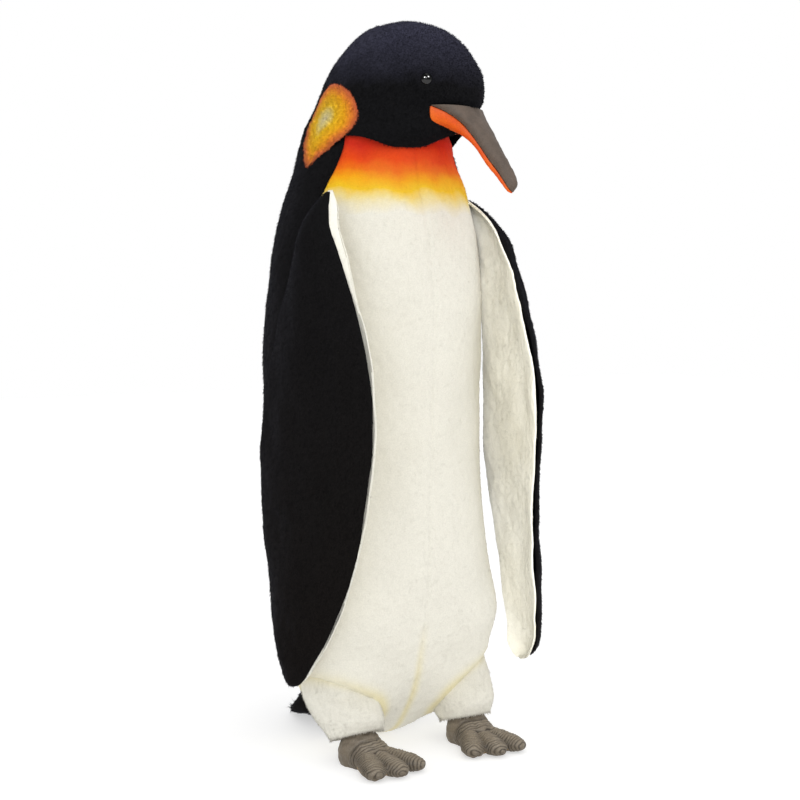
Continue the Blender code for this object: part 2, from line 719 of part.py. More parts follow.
def build_flipper(name, side):
    pivot = flipper_empty(name, side)
    flipper_half("flipper_outer_" + name, side, 1, DARK_PLUSH, pivot)
    flipper_half("flipper_inner_" + name, side, -1, WHITE_PLUSH, pivot)
    rings = []
    for down in flipper_downs()[1:-5]:
        faces = []
        for face in (1, -1):
            row = []
            for share in spread(-1, 1, BLADE_STEPS)[1:-1]:
                depth = max(blade_depth(down, share) - PLUSH - 2 * FILL_GAP, SEAM_GAP / 4)
                row.append(mirrored(blade_point(down, share, face * depth), side))
            faces.append(row)
        rings.append(faces[0] + faces[1][::-1])
    stuffing = mesh_object("flipper_stuffing_" + name, loft(rings), STUFFING, pivot)
    route = [mirrored(blade_point(down, 0.0, 0.0), side) for down in FLIPPER_WIRE_DOWNS]
    wire("flipper_wire_" + name, route, THIN_WIRE, pivot)
    open_top = extended(route, below=(0, 0, CUTTER_REACH))
    cut(stuffing, wire_room("flipper_wire_room_" + name, open_top, THIN_WIRE, pivot))


# --- Legs and feet --------------------------------------------------------------------------------
def leg_loft(side):
    rings = []
    for out, forward, height, half_width, half_length in LEG_SECTIONS:
        rings.append(
            [
                Vector((side * out + half_width * math.sin(a), -forward - half_length * math.cos(a), height))
                for a in spread(0, 2 * math.pi, RING_STEPS)[:-1]
            ]
        )
    return loft(rings, end=Vector((side * LEG_TOP[0], -LEG_TOP[1], LEG_TOP[2])))


def foot_reach(angle):
    """Distance from the ankle to the foot's edge at this angle from its middle toe."""
    reach = HEEL_RADIUS
    for toe, length in zip(TOE_ANGLES, TOE_LENGTHS):
        along = math.cos(angle - toe)
        across = math.sin(angle - toe)
        inside = TOE_RADIUS**2 - (length * across) ** 2
        if along > 0 and inside > 0:
            reach = max(reach, length * along + math.sqrt(inside))
        elif along > 0 and abs(across) > 1e-6:
            reach = max(reach, min(TOE_RADIUS / abs(across), length * along))
    return reach


def foot_angles():
    """Finely spaced round the toes, coarsely round the heel."""
    toes = spread(math.radians(-50), math.radians(50), 20)
    heel = spread(math.radians(50), math.radians(310), 9)
    return toes + heel[1:-1]


def foot_ring(scale, height, inset=0.0):
    ring = []
    for angle in foot_angles():
        reach = foot_reach(angle) * scale - inset
        ring.append(Vector((reach * math.sin(angle), -reach * math.cos(angle), height(angle, scale))))
    return ring


def foot_top(angle, scale, drop=0.0):
    """Height of the foot's upper side: high round the ankle, low at the toes."""
    reach = foot_reach(angle) * scale
    toe_share = min(1.0, max(0.0, (reach - HEEL_RADIUS * 0.85) / 0.045))
    crown = FOOT_HEIGHT + (TOE_HEIGHT - FOOT_HEIGHT) * toe_share
    floor = SOLE_THICKNESS + TOUCH_GAP
    return floor + (crown - floor) * math.sqrt(1 - scale**2.6) - drop


def build_foot(name, side):
    ankle = empty("ankle_" + name, (side * ANKLE[0], -ANKLE[1], 0), STAND, (0, 0, -side * TOE_IN))
    flat = SOLE_THICKNESS + TOUCH_GAP
    rim = foot_ring(1.0, lambda angle, scale: flat)
    scales = (0.96, 0.84, 0.6)
    upper_rows = [rim] + [foot_ring(scale, foot_top) for scale in scales]
    top = Vector((0, 0, FOOT_HEIGHT))
    closed = [row + [row[0]] for row in upper_rows]
    bm = sheet(closed, top)
    bmesh.ops.remove_doubles(bm, verts=bm.verts[:], dist=1e-6)
    upper = mesh_object("foot_upper_" + name, bm, FOOT_SUEDE, ankle)
    thicken(upper, SUEDE, Vector((0, 0, -1)) if upper.data.polygons[-1].normal.z < 0 else Vector((0, 0, 1)))
    solid_side = upper.data.polygons[-1].normal.z
    upper.modifiers["thickness"].offset = -1.0 if solid_side > 0 else 1.0

    sole_rings = [foot_ring(1.0, lambda angle, scale: z) for z in (0.0, SOLE_THICKNESS)]
    mesh_object("foot_sole_" + name, loft(sole_rings), FOOT_SUEDE, ankle)

    inset = SUEDE + FILL_GAP
    board_low = flat + TOUCH_GAP
    board_rings = [
        foot_ring(0.92, lambda angle, scale: z, BOARD_INSET) for z in (board_low, board_low + BOARD_THICKNESS)
    ]
    mesh_object("foot_board_" + name, loft(board_rings), BOARD, ankle)
    low = board_low + BOARD_THICKNESS + TOUCH_GAP
    core_rings = [foot_ring(0.86, lambda angle, scale: low, inset)]
    for scale in (0.78, 0.52):
        core_rings.append(
            foot_ring(scale, lambda angle, scale: max(foot_top(angle, scale) - inset - 0.001, low), inset)
        )
    core_top = top - Vector((0, 0, inset + 0.001))
    core = mesh_object("foot_stuffing_" + name, loft(core_rings, end=core_top), STUFFING, ankle)
    cut(core, LEG_WIRE_ROOM)
    cut(upper, LEG_WIRE_ROOM)
    cut(upper, BELOW_FOOT)


def build_leg(name, side):
    cover_bm = leg_loft(side)
    cover = mesh_object("leg_cover_" + name, cover_bm, WHITE_PLUSH, STAND)
    core_bm = grow(leg_loft(side), -(PLUSH + FILL_GAP))
    core = mesh_object("leg_stuffing_" + name, core_bm, STUFFING, STAND)
    inside = cutter_mesh("leg_inside_" + name, grow(leg_loft(side), -PLUSH))
    for vertex in inside.data.vertices:
        if vertex.co.z < LEG_SECTIONS[0][2] + PLUSH * 2:
            vertex.co.z = LEG_SECTIONS[0][2] - CUTTER_REACH
    cut(cover, inside)
    cut(cover, BODY_OUTSIDE)
    cut(core, BODY_OUTSIDE)
    cut(core, LEG_WIRE_ROOM)
    for vertex in core.data.vertices:
        vertex.co.z = max(vertex.co.z, FOOT_HEIGHT + TOUCH_GAP)
    return cover, core


# --- Tail -----------------------------------------------------------------------------------------
def tail_rings(shrink=0.0):
    rings = []
    for forward, height, half_width, half_depth in TAIL_SECTIONS:
        across = max(half_width - shrink, 0.002)
        deep = max(half_depth - shrink, 0.0015)
        ring = []
        for angle in spread(0, 2 * math.pi, RING_STEPS)[:-1]:
            rise = deep * math.cos(angle)
            ring.append(
                Vector(
                    (
                        across * math.sin(angle),
                        -forward + rise * math.sin(TAIL_SLOPE),
                        max(height + rise * math.cos(TAIL_SLOPE), 0.0),
                    )
                )
            )
        rings.append(ring)
    return rings


def build_tail():
    tip = Vector((0, -TAIL_TIP[0], TAIL_TIP[1]))
    cover = mesh_object("tail_cover", loft(tail_rings(), end=tip), DARK_PLUSH, STAND)
    inside = cutter_mesh("tail_inside", loft(tail_rings(PLUSH)))
    core = mesh_object("tail_stuffing", loft(tail_rings(PLUSH + FILL_GAP)[:-1]), STUFFING, STAND)
    cut(cover, inside)
    cut(cover, BODY_OUTSIDE)
    cut(core, BODY_OUTSIDE)
    cut(core, TAIL_WIRE_ROOM)


# --- Wire frame -----------------------------------------------------------------------------------
LEG_WIRE_OUT, LEG_WIRE_FORWARD = ANKLE[0], ANKLE[1]
YOKE_ROUTE = (
    (LEG_WIRE_OUT, -LEG_WIRE_FORWARD, SOLE_THICKNESS + BOARD_THICKNESS + 4 * TOUCH_GAP),
    (LEG_WIRE_OUT, -LEG_WIRE_FORWARD, 0.070),
    (0.050, -0.035, YOKE_HEIGHT - 0.002),
    (0.016, 0.000, YOKE_HEIGHT),
)
TAIL_ROUTE = (
    (0.0, 0.000, 0.090), (0.0, 0.045, 0.068), (0.0, 0.080, 0.030), (0.0, 0.100, 0.0165),
)
SHOULDER_ROUTE = (
    FLIPPER_SHOULDER["right"] + Vector((0.006, 0, -0.004)),
    (-0.070, -0.040, SHOULDER_WIRE_HEIGHT), (-0.020, 0.0075, SHOULDER_WIRE_HEIGHT),
    (0.020, 0.0075, SHOULDER_WIRE_HEIGHT), (0.070, -0.040, SHOULDER_WIRE_HEIGHT),
    FLIPPER_SHOULDER["left"] + Vector((-0.006, 0, -0.002)),
)
SPINE_ROUTE = ((0, 0, SPINE_BOTTOM), (0, 0, SPINE_TOP))
NECK_ROUTE = (
    (0, 0, NECK_WIRE_BOTTOM - NECK_TOP), (0, -0.012, 0.79 - NECK_TOP), (0, -0.040, NECK_WIRE_TOP - NECK_TOP),
)


def yoke_route():
    right = [(-x, y, z) for x, y, z in YOKE_ROUTE]
    return right + [(x, y, z) for x, y, z in reversed(YOKE_ROUTE)]


def build_frame():
    wire("spine_wire", SPINE_ROUTE, WIRE)
    wire("leg_wire", yoke_route(), WIRE)
    wire("tail_wire", TAIL_ROUTE, WIRE)
    wire("shoulder_wire", SHOULDER_ROUTE, THIN_WIRE)
    wire("neck_wire", NECK_ROUTE, WIRE, HEAD_PIVOT)


# --- Cutters that several pieces share ------------------------------------------------------------
def round_hole(name, place, direction, radius, length, parent=STAND):
    return as_cutter(cylinder(name, radius, length, place, direction, STUFFING, parent, CUTTERS, 20))


def extended(route, below=None, above=None):
    """A wire's route with its first or last point carried on, so that the room cut for it is open there."""
    route = [Vector(point) for point in route]
    if below:
        route.insert(0, route[0] + Vector(below))
    if above:
        route.append(route[-1] + Vector(above))
    return route


LEG_WIRE_ROOM = wire_room(
    "leg_wire_room", extended(yoke_route(), below=(0, 0, -CUTTER_REACH), above=(0, 0, -CUTTER_REACH)), WIRE
)
TAIL_WIRE_ROOM = wire_room("tail_wire_room", TAIL_ROUTE, WIRE)
SPINE_ROOM = wire_room("spine_room", extended(SPINE_ROUTE, above=(0, 0, CUTTER_REACH)), WIRE)
SHOULDER_ROOM = wire_room("shoulder_room", SHOULDER_ROUTE, THIN_WIRE)
NECK_ROOM = wire_room("neck_room", extended(NECK_ROUTE, below=(0, 0, -CUTTER_REACH)), WIRE, HEAD_PIVOT)
FRAME_ROOMS = (LEG_WIRE_ROOM, TAIL_WIRE_ROOM, SPINE_ROOM, SHOULDER_ROOM)
SHOULDER_HOLE = wire_room("shoulder_hole", SHOULDER_ROUTE, THIN_WIRE * 2)
LEG_HOLE = {
    name: round_hole("leg_hole_" + name, (side * 0.066, -0.058, 0.088), (side * 0.5, -0.8, -0.5), 0.014, 0.07)
    for name, side in SIDES.items()
}
TAIL_HOLE = round_hole("tail_hole", (0, 0.060, 0.052), (0, 0.7, -0.7), 0.012, 0.05)
ABOVE_NECK = level_block("above_neck", NECK_TOP, NECK_TOP + CUTTER_REACH, STAND)
BELOW_HEAD = level_block("below_head", -CUTTER_REACH, HEAD_SECTIONS[0][0] - NECK_TOP, HEAD_PIVOT)
BELOW_FOOT = level_block("below_foot", -CUTTER_REACH, SOLE_THICKNESS + TOUCH_GAP, STAND)
BODY_HALF = {name: half_space("body_half_" + name, side, STAND) for name, side in SIDES.items()}
HEAD_HALF = {name: half_space("head_half_" + name, side, HEAD_PIVOT) for name, side in SIDES.items()}
BODY_OUTSIDE = cutter_mesh("body_outside", grow(body_loft(), 5 * TOUCH_GAP))
HEAD_OUTSIDE = cutter_mesh("head_outside", grow(head_loft(), 2 * TOUCH_GAP), HEAD_PIVOT)


def main():
    build_body()
    build_head()
    build_beak()
    build_tail()
    build_frame()
    for name, side in SIDES.items():
        build_flipper(name, side)
        build_leg(name, side)
        build_foot(name, side)


main()
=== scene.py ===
"""The plush penguin as it looks: plush covers with real pile, suede beak and feet, gloss eyes.

Metres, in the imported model's frame: +Z up, the penguin faces -Y and its left is +X. Shapes are worked out
in the penguin's own frame, whose Z axis runs up the middle of the neck, and placed() moves them.
"""

import math

import bmesh
import bpy
import numpy as np
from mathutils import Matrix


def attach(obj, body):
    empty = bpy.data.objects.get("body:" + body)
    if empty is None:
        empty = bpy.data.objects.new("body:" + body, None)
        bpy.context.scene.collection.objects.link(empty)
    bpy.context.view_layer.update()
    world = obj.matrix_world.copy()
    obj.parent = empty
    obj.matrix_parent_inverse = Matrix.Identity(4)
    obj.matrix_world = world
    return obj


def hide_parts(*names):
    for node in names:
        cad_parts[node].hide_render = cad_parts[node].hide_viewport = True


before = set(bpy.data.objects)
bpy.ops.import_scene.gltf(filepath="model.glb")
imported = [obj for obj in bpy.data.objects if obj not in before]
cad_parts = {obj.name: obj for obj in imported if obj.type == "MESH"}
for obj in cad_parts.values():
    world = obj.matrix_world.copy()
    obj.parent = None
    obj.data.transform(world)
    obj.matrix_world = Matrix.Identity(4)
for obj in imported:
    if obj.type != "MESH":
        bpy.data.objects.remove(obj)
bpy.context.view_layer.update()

STAND = np.array((-0.0111, 0.0128, 0.0))
HEAD_TURN = math.radians(25)
SIDES = {"left": 1, "right": -1}
DOWN = np.array((0.0, 0.0, -1.0))

STEP = 0.0031             # the covers' mesh spacing
COVER = 0.0028            # a cover's thickness
FLOOR_GAP = 0.0002        # nothing reaches lower than this
ROOT_DEPTH = 0.0006       # how deep a fibre is rooted in its cover
FIBRE_JITTER, TUFT_PULL, TUFT_SIZE = 0.22, 0.16, 0.007

# The camera: its distance from the shoulders, bearing, height, and where it frames the picture
CAMERA_DISTANCE, CAMERA_BEARING, CAMERA_HEIGHT = 1.8, math.radians(33), 0.563
SHOULDERS_FORWARD = 0.062
FOCAL, SHIFT_X, SHIFT_Y, SENSOR = 1.8, -0.00375, -0.1325, 36

# Level sections: height, centre's y, reach to the front and the back, half width, front squareness
BODY_SECTIONS = (
    (0.0080, -0.012, 0.014, 0.024, 0.022, 2.0), (0.0160, -0.014, 0.028, 0.045, 0.042, 2.0),
    (0.0280, -0.015, 0.041, 0.062, 0.062, 2.1), (0.0450, -0.017, 0.052, 0.078, 0.081, 2.3),
    (0.0650, -0.017, 0.066, 0.092, 0.098, 2.5), (0.0900, -0.015, 0.079, 0.104, 0.115, 2.8),
    (0.1200, -0.012, 0.091, 0.112, 0.130, 3.0), (0.1500, -0.008, 0.102, 0.116, 0.140, 3.1),
    (0.1940, -0.003, 0.114, 0.120, 0.142, 2.7), (0.2500, 0.001, 0.120, 0.125, 0.141, 2.3),
    (0.3100, 0.005, 0.126, 0.133, 0.140, 2.1), (0.3700, 0.009, 0.132, 0.142, 0.138, 2.0),
    (0.4300, 0.010, 0.135, 0.147, 0.137, 2.0), (0.4900, 0.009, 0.138, 0.147, 0.137, 2.0),
    (0.5500, 0.006, 0.138, 0.138, 0.138, 2.0), (0.6000, 0.003, 0.129, 0.128, 0.137, 2.0),
    (0.6400, 0.001, 0.117, 0.118, 0.131, 2.0), (0.6800, 0.000, 0.106, 0.108, 0.120, 2.0),
    (0.7100, 0.000, 0.099, 0.103, 0.110, 2.0), (0.7416, 0.000, 0.096, 0.101, 0.101, 2.0),
)
BODY_BOTTOM = np.array((0.0, 0.012, 0.0050))
HEAD_SECTIONS = (
    (0.7424, 0.000, 0.099, 0.101, 0.102, 2.0), (0.7480, -0.004, 0.104, 0.103, 0.103, 1.9),
    (0.7560, -0.009, 0.109, 0.106, 0.102, 1.8), (0.7660, -0.014, 0.110, 0.109, 0.100, 1.7),
    (0.7810, -0.023, 0.106, 0.111, 0.097, 1.6), (0.7920, -0.029, 0.107, 0.111, 0.094, 1.6),
    (0.8030, -0.033, 0.110, 0.111, 0.091, 1.65), (0.8180, -0.038, 0.110, 0.110, 0.088, 1.75),
    (0.8370, -0.040, 0.104, 0.104, 0.083, 1.9), (0.8550, -0.040, 0.093, 0.092, 0.075, 2.0),
    (0.8740, -0.043, 0.078, 0.078, 0.065, 2.0), (0.8890, -0.044, 0.061, 0.061, 0.053, 2.0),
    (0.8995, -0.043, 0.043, 0.043, 0.038, 2.0), (0.9055, -0.041, 0.021, 0.021, 0.019, 2.0),
)
HEAD_TOP = np.array((0.0, -0.041, 0.9075))
# Degrees from the front at which white plush meets dark, on its left and on its right, against height
SIDE_SEAM = (
    (0.0080, 122, 122), (0.0450, 118, 118), (0.0900, 110, 110), (0.1500, 96, 96), (0.2500, 84, 84),
    (0.3700, 78, 78), (0.5500, 73, 73), (0.6500, 69, 68), (0.6900, 67, 64), (0.7200, 66, 58.5),
    (0.7416, 66, 55.5), (0.7750, 66, 52.5),
)
NECK_RISE = 0.7750       # how far the torso's covers run up inside the head's
EAR_OUTLINE = (
    (-0.012, 0.8270), (0.008, 0.8215), (0.025, 0.8090), (0.035, 0.7920), (0.033, 0.7760), (0.020, 0.7610),
    (0.000, 0.7480), (-0.018, 0.7360), (-0.033, 0.7250), (-0.042, 0.7340), (-0.046, 0.7500),
    (-0.047, 0.7700), (-0.043, 0.7900), (-0.034, 0.8100), (-0.023, 0.8220),
)
EAR_CENTRE = (-0.010, 0.7830)
EAR_SHIFT = (-0.002, -0.0045)
EYE_FORWARD, EYE_HEIGHT, EYE_RADIUS = 0.111, 0.8235, 0.0075
# The beak's ribs: ridge, seam and underside as (forward, height), and the half width at the seam
BEAK_RIBS = (
    (0, 0.144, 0.793, 0.110, 0.793, 0.107, 0.763, 0.050),
    (1, 0.151, 0.780, 0.125, 0.785, 0.1195, 0.764, 0.040),
    (2, 0.161, 0.767, 0.138, 0.774, 0.134, 0.756, 0.029),
    (3, 0.1725, 0.751, 0.1515, 0.756, 0.149, 0.743, 0.0205),
    (4, 0.1885, 0.725, 0.1700, 0.728, 0.1665, 0.7185, 0.0145),
    (5, 0.1985, 0.707, 0.1840, 0.708, 0.1810, 0.7015, 0.0105),
    (6, 0.2015, 0.6945, 0.1930, 0.693, 0.1905, 0.6885, 0.0070),
    (6.7, 0.1975, 0.6870, 0.1965, 0.686, 0.1955, 0.6855, 0.001),
)
# Flipper blades, from the shoulder seam: distance down, rear edge, front edge
FLIPPER_OUTLINES = {
    "right": (
        (0.010, 0.003, 0.009), (0.018, -0.002, 0.015), (0.030, -0.007, 0.022), (0.065, -0.017, 0.039),
        (0.115, -0.033, 0.066), (0.175, -0.049, 0.097), (0.235, -0.060, 0.117), (0.300, -0.065, 0.126),
        (0.360, -0.063, 0.122), (0.420, -0.051, 0.114), (0.480, -0.034, 0.097), (0.535, -0.018, 0.072),
        (0.572, -0.006, 0.049), (0.588, -0.001, 0.038), (0.5965, 0.004, 0.029), (0.6005, 0.009, 0.021),
        (0.6015, 0.012, 0.016),
    ),
    "left": (
        (-0.008, -0.036, -0.022), (0.000, -0.034, -0.008), (0.015, -0.030, 0.009), (0.030, -0.026, 0.023),
        (0.065, -0.020, 0.052), (0.115, -0.020, 0.079), (0.175, -0.028, 0.105), (0.235, -0.039, 0.115),
        (0.300, -0.047, 0.104), (0.360, -0.053, 0.086), (0.420, -0.043, 0.073), (0.480, -0.036, 0.065),
        (0.535, -0.033, 0.058), (0.575, -0.025, 0.047), (0.593, -0.017, 0.030), (0.598, -0.008, 0.016),
        (0.600, 0.000, 0.008),
    ),
}
SHOULDER = {"left": (0.128, -0.053, 0.682), "right": (-0.128, -0.068, 0.697)}
HANG = {"left": math.radians(6), "right": math.radians(3)}
YAW = {"left": math.radians(11), "right": math.radians(13)}
SWEEP = {"left": 0.0, "right": math.radians(2)}
# Leg: side, forward, height, half width, half length
LEG_SECTIONS = (
    (0.0200, 0.0800, 0.0830, 0.0310, 0.0310), (0.0310, 0.0815, 0.0755, 0.0355, 0.0400),
    (0.0420, 0.0835, 0.0685, 0.0395, 0.0460), (0.0580, 0.0850, 0.0580, 0.0415, 0.0500),
    (0.0850, 0.0865, 0.0470, 0.0430, 0.0445), (0.1150, 0.0865, 0.0360, 0.0400, 0.0370),
    (0.1450, 0.0850, 0.0280, 0.0280, 0.0280), (0.1700, 0.0850, 0.0200, 0.0180, 0.0200),
    (0.1780, 0.0850, 0.0180, 0.0040, 0.0050),
)
ANKLE = (0.0795, 0.087)
TOE_IN = math.radians(6)
TOE_ANGLES = (math.radians(-22.5), 0.0, math.radians(22.5))
TOE_LENGTHS = (0.071, 0.074, 0.0755)
TOE_RADIUS = 0.0148
# Tail: order, forward, height, half width, half depth
TAIL_SECTIONS = (
    (0, -0.012, 0.096, 0.052, 0.026), (1, -0.045, 0.066, 0.064, 0.031), (2, -0.062, 0.046, 0.069, 0.031),
    (3, -0.080, 0.028, 0.070, 0.029), (4, -0.100, 0.0165, 0.067, 0.0145), (5, -0.122, 0.0080, 0.058, 0.0110),
    (6, -0.138, 0.0055, 0.045, 0.0080), (6.8, -0.148, 0.0040, 0.004, 0.0020),
)
TAIL_SLOPE = math.radians(45)


# --- Numbers --------------------------------------------------------------------------------------
def smooth(stations, at):
    """The stations' columns at these values of their first one, by a cubic through them."""
    table = np.array(stations, float)
    at = np.clip(np.asarray(at, float), table[0, 0], table[-1, 0])
    i = np.clip(np.searchsorted(table[:, 0], at, side="right") - 1, 0, len(table) - 2)
    before, low = table[np.maximum(i - 1, 0)], table[i]
    high, after = table[i + 1], table[np.minimum(i + 2, len(table) - 1)]
    span = (high[..., 0] - low[..., 0])[..., None]
    share = ((at - low[..., 0]) / span[..., 0])[..., None]
    leave = (high - before) / (high[..., :1] - before[..., :1]) * span
    arrive = (after - low) / (after[..., :1] - low[..., :1]) * span
    found = (
        low * (2 * share**3 - 3 * share**2 + 1) + leave * (share**3 - 2 * share**2 + share)
        + high * (3 * share**2 - 2 * share**3) + arrive * (share**3 - share**2)
    )
    return found[..., 1:]


def signed_power(value, power):
    return np.sign(value) * np.abs(value) ** power


def section_xyz(stations, z, angle):
    centre, front, back, half, roundness = np.moveaxis(smooth(stations, z), -1, 0)
    roundness = np.where(np.cos(angle) > 0, roundness, 2.0)
    reach = np.where(np.cos(angle) > 0, front, back)
    x = half * signed_power(np.sin(angle), 2 / roundness)
    y = centre - reach * signed_power(np.cos(angle), 2 / roundness)
    return np.stack([x, y, z + 0 * x], -1)


def side_of_head(forward, height):
    """How far out the head or the neck reaches at this forward distance and height."""
    head = smooth(HEAD_SECTIONS, height)
    neck = smooth(BODY_SECTIONS, height)
    values = np.where((height >= HEAD_SECTIONS[0][0])[..., None], head, neck)
    centre, front, back, half, roundness = np.moveaxis(values, -1, 0)
    ahead = forward + centre
    share = np.minimum(np.where(ahead > 0, ahead / front, -ahead / back), 1.0)
    power = np.where(ahead > 0, roundness, 2.0)
    return half * (1 - share**power) ** (1 / power)


def even_heights(stations, step):
    """Heights that are evenly spaced along the sections' profile."""
    z = np.linspace(stations[0][0], stations[-1][0], 4000)
    values = smooth(stations, z)
    moves = np.abs(np.diff(values[:, 1:4], axis=0)).max(axis=1)
    along = np.concatenate([[0], np.cumsum(np.hypot(np.diff(z), moves))])
    return np.interp(np.linspace(0, along[-1], max(int(along[-1] / step), 4)), along, z)


def section_grid(stations, heights, low, high, columns, closed=False):
    """Rows of points round level sections, evenly spaced along each between two angles."""
    shares = np.linspace(0, 1, 721)
    low, high = low * np.ones(len(heights)), high * np.ones(len(heights))
    angles = low[:, None] + (high - low)[:, None] * shares
    dense = section_xyz(stations, heights[:, None] * np.ones_like(angles), angles)
    along = np.cumsum(np.linalg.norm(np.diff(dense, axis=1), axis=2), axis=1)
    along = np.concatenate([np.zeros((len(heights), 1)), along], axis=1)
    grid = np.empty((len(heights), columns, 3))
    wanted = np.linspace(0, 1, columns + 1)[:-1] if closed else np.linspace(0, 1, columns)
    for row in range(len(heights)):
        for axis in range(3):
            grid[row, :, axis] = np.interp(wanted * along[row, -1], along[row], dense[row, :, axis])
    return grid


def unit(vectors):
    return vectors / np.maximum(np.linalg.norm(vectors, axis=-1, keepdims=True), 1e-12)


def normals_of(grid, outward, closed=False):
    """Unit normals of a grid of points, on the side that outward says."""
    if closed:
        padded = np.concatenate([grid[:, -1:], grid, grid[:, :1]], axis=1)
        across = (padded[:, 2:] - padded[:, :-2]) / 2
    else:
        across = np.gradient(grid, axis=1)
    found = unit(np.cross(across, np.gradient(grid, axis=0)))
    side = np.sign((found * outward).sum(axis=-1, keepdims=True).mean())
    return found * (side or 1.0)


def waves(points, size, seed, count=24):
    """Smooth seeded noise of about unit size, with bumps about this far apart."""
    random = np.random.default_rng(seed)
    turns = unit(random.normal(size=(count, 3))) * (2 * math.pi / size) * random.uniform(0.7, 1.4, (count, 1))
    offsets = random.uniform(0, 2 * math.pi, count)
    total = np.zeros(points.shape[:-1])
    for turn, offset in zip(turns, offsets):
        total += np.cos(points @ turn + offset)
    return total / math.sqrt(count / 2)


def dip(distance, width):
    return np.exp(-((distance / width) ** 2))


def placed(points):
    return points + STAND


def head_placed(points):
    """From the head's straight-ahead frame to the model's."""
    cos, sin = math.cos(HEAD_TURN), math.sin(HEAD_TURN)
    turn = np.array(((cos, -sin, 0), (sin, cos, 0), (0, 0, 1)))
    return points @ turn.T + STAND


# --- Meshes ---------------------------------------------------------------------------------------
def mesh_object(name, points, faces, look, tones=None, recalc=False):
    """An object of these points and faces, with a float layer for each of its tones."""
    faces = faces.tolist() if isinstance(faces, np.ndarray) else faces
    mesh = bpy.data.meshes.new(name)
    mesh.from_pydata(np.asarray(points).reshape(-1, 3).tolist(), [], faces)
    if recalc:
        bm = bmesh.new()
        bm.from_mesh(mesh)
        bmesh.ops.recalc_face_normals(bm, faces=bm.faces[:])
        bm.to_mesh(mesh)
        bm.free()
    mesh.shade_smooth()
    mesh.materials.append(look)
    for key, values in (tones or {}).items():
        layer = mesh.attributes.new(key, "FLOAT", "POINT")
        layer.data.foreach_set("value", np.asarray(values, np.float32).reshape(-1))
    made = bpy.data.objects.new(name, mesh)
    bpy.context.scene.collection.objects.link(made)
    return made


def grid_quads(rows, columns, closed):
    index = np.arange(rows * columns).reshape(rows, columns)
    side = np.roll(index, -1, axis=1) if closed else index[:, 1:]
    here = index if closed else index[:, :-1]
    return np.stack([here[:-1], side[:-1], side[1:], here[1:]], -1).reshape(-1, 4)


def shell(name, grid, normals, thickness, look, closed=False, tones=None):
    """A closed cover: an outer grid, the same grid inside it, and the rims between them."""
    rows, columns = grid.shape[:2]
    inner = grid - normals * np.asarray(thickness)[..., None]
    count = rows * columns
    index = np.arange(count).reshape(rows, columns)
    quads = grid_quads(rows, columns, closed)
    faces = [quads, quads[:, ::-1] + count]

    def rim(first, second):
        return np.stack([second, first, first + count, second + count], -1)

    low, high = index[0], index[-1]
    if closed:
        faces += [rim(low, np.roll(low, -1)), rim(np.roll(high, -1), high)]
    else:
        faces += [rim(low[:-1], low[1:]), rim(high[1:], high[:-1])]
        faces += [rim(index[1:, 0], index[:-1, 0]), rim(index[:-1, -1], index[1:, -1])]
    faces = np.concatenate(faces)
    corners = grid.reshape(-1, 3)[quads]
    turned = np.cross(corners[:, 1] - corners[:, 0], corners[:, 2] - corners[:, 0])
    if (turned * normals.reshape(-1, 3)[quads[:, 0]]).sum() < 0:
        faces = faces[:, ::-1]
    both = {key: np.concatenate([v.reshape(-1), v.reshape(-1)]) for key, v in (tones or {}).items()}
    both["strand"] = np.full(2 * count, 0.5)
    points = np.concatenate([grid.reshape(-1, 3), inner.reshape(-1, 3)])
    points[:, 2] = np.maximum(points[:, 2], FLOOR_GAP)
    return mesh_object(name, points, faces, look, both)


def pile(name, grid, normals, look, count, length, lay, seed, width=0.0009, lift=0.45, density=None,
         closed=False, tones=None):
    """Real fibres on a grid, each a closed spike of four faces, combed along lay."""
    random = np.random.default_rng(seed)
    rows, columns = grid.shape[:2]
    quads = grid_quads(rows, columns, closed)
    corners = grid.reshape(-1, 3)[quads]
    diagonals = np.cross(corners[:, 2] - corners[:, 0], corners[:, 3] - corners[:, 1])
    area = 0.5 * np.linalg.norm(diagonals, axis=1)
    if density is not None:
        area = area * density.reshape(-1)[quads].mean(axis=1)
    total = np.cumsum(area)
    picks = (np.arange(count) + random.random(count)) / count * total[-1]
    chosen = np.minimum(np.searchsorted(total, picks), len(quads) - 1)
    s, t = random.random((2, count))
    weights = np.stack([(1 - s) * (1 - t), s * (1 - t), s * t, (1 - s) * t], -1)

    def blended(field):
        flat = field.reshape(rows * columns, -1)
        return (flat[quads[chosen]] * weights[..., None]).sum(axis=1)

    root, normal = blended(grid), unit(blended(normals))
    comb = blended(np.broadcast_to(lay, grid.shape)) if np.ndim(lay) > 1 else lay
    comb = comb - (comb * normal).sum(axis=1, keepdims=True) * normal
    tuft = np.stack([waves(root, TUFT_SIZE, seed + k) for k in range(3)], -1)
    strays = random.normal(size=root.shape) * FIBRE_JITTER
    way = unit(normal * lift + comb + strays + tuft * TUFT_PULL)
    reach = length if np.ndim(length) == 0 else blended(length)[:, 0]
    reach = reach * random.uniform(0.65, 1.2, count)
    side = unit(np.cross(way, normal + 1e-3))
    other = np.cross(way, side)
    base = root - normal * ROOT_DEPTH
    points = np.empty((count, 4, 3))
    for k in range(3):
        angle = 2 * math.pi * k / 3
        points[:, k] = base + (side * math.cos(angle) + other * math.sin(angle)) * (width / 2)
    points[:, 3] = base + way * reach[:, None]
    points[..., 2] = np.maximum(points[..., 2], FLOOR_GAP)
    start = np.arange(count)[:, None] * 4
    faces = np.concatenate([start + np.array(f) for f in ((0, 1, 3), (1, 2, 3), (2, 0, 3), (2, 1, 0))])
    carried = {key: np.repeat(blended(v)[:, 0], 4) for key, v in (tones or {}).items()}
    carried["strand"] = np.repeat(random.random(count), 4)
    made = mesh_object(name, points, faces, look, carried)
    shading = np.repeat(unit(normal + way * 0.25), 4, axis=0)
    made.data.normals_split_custom_set_from_vertices(shading.tolist())
    return made


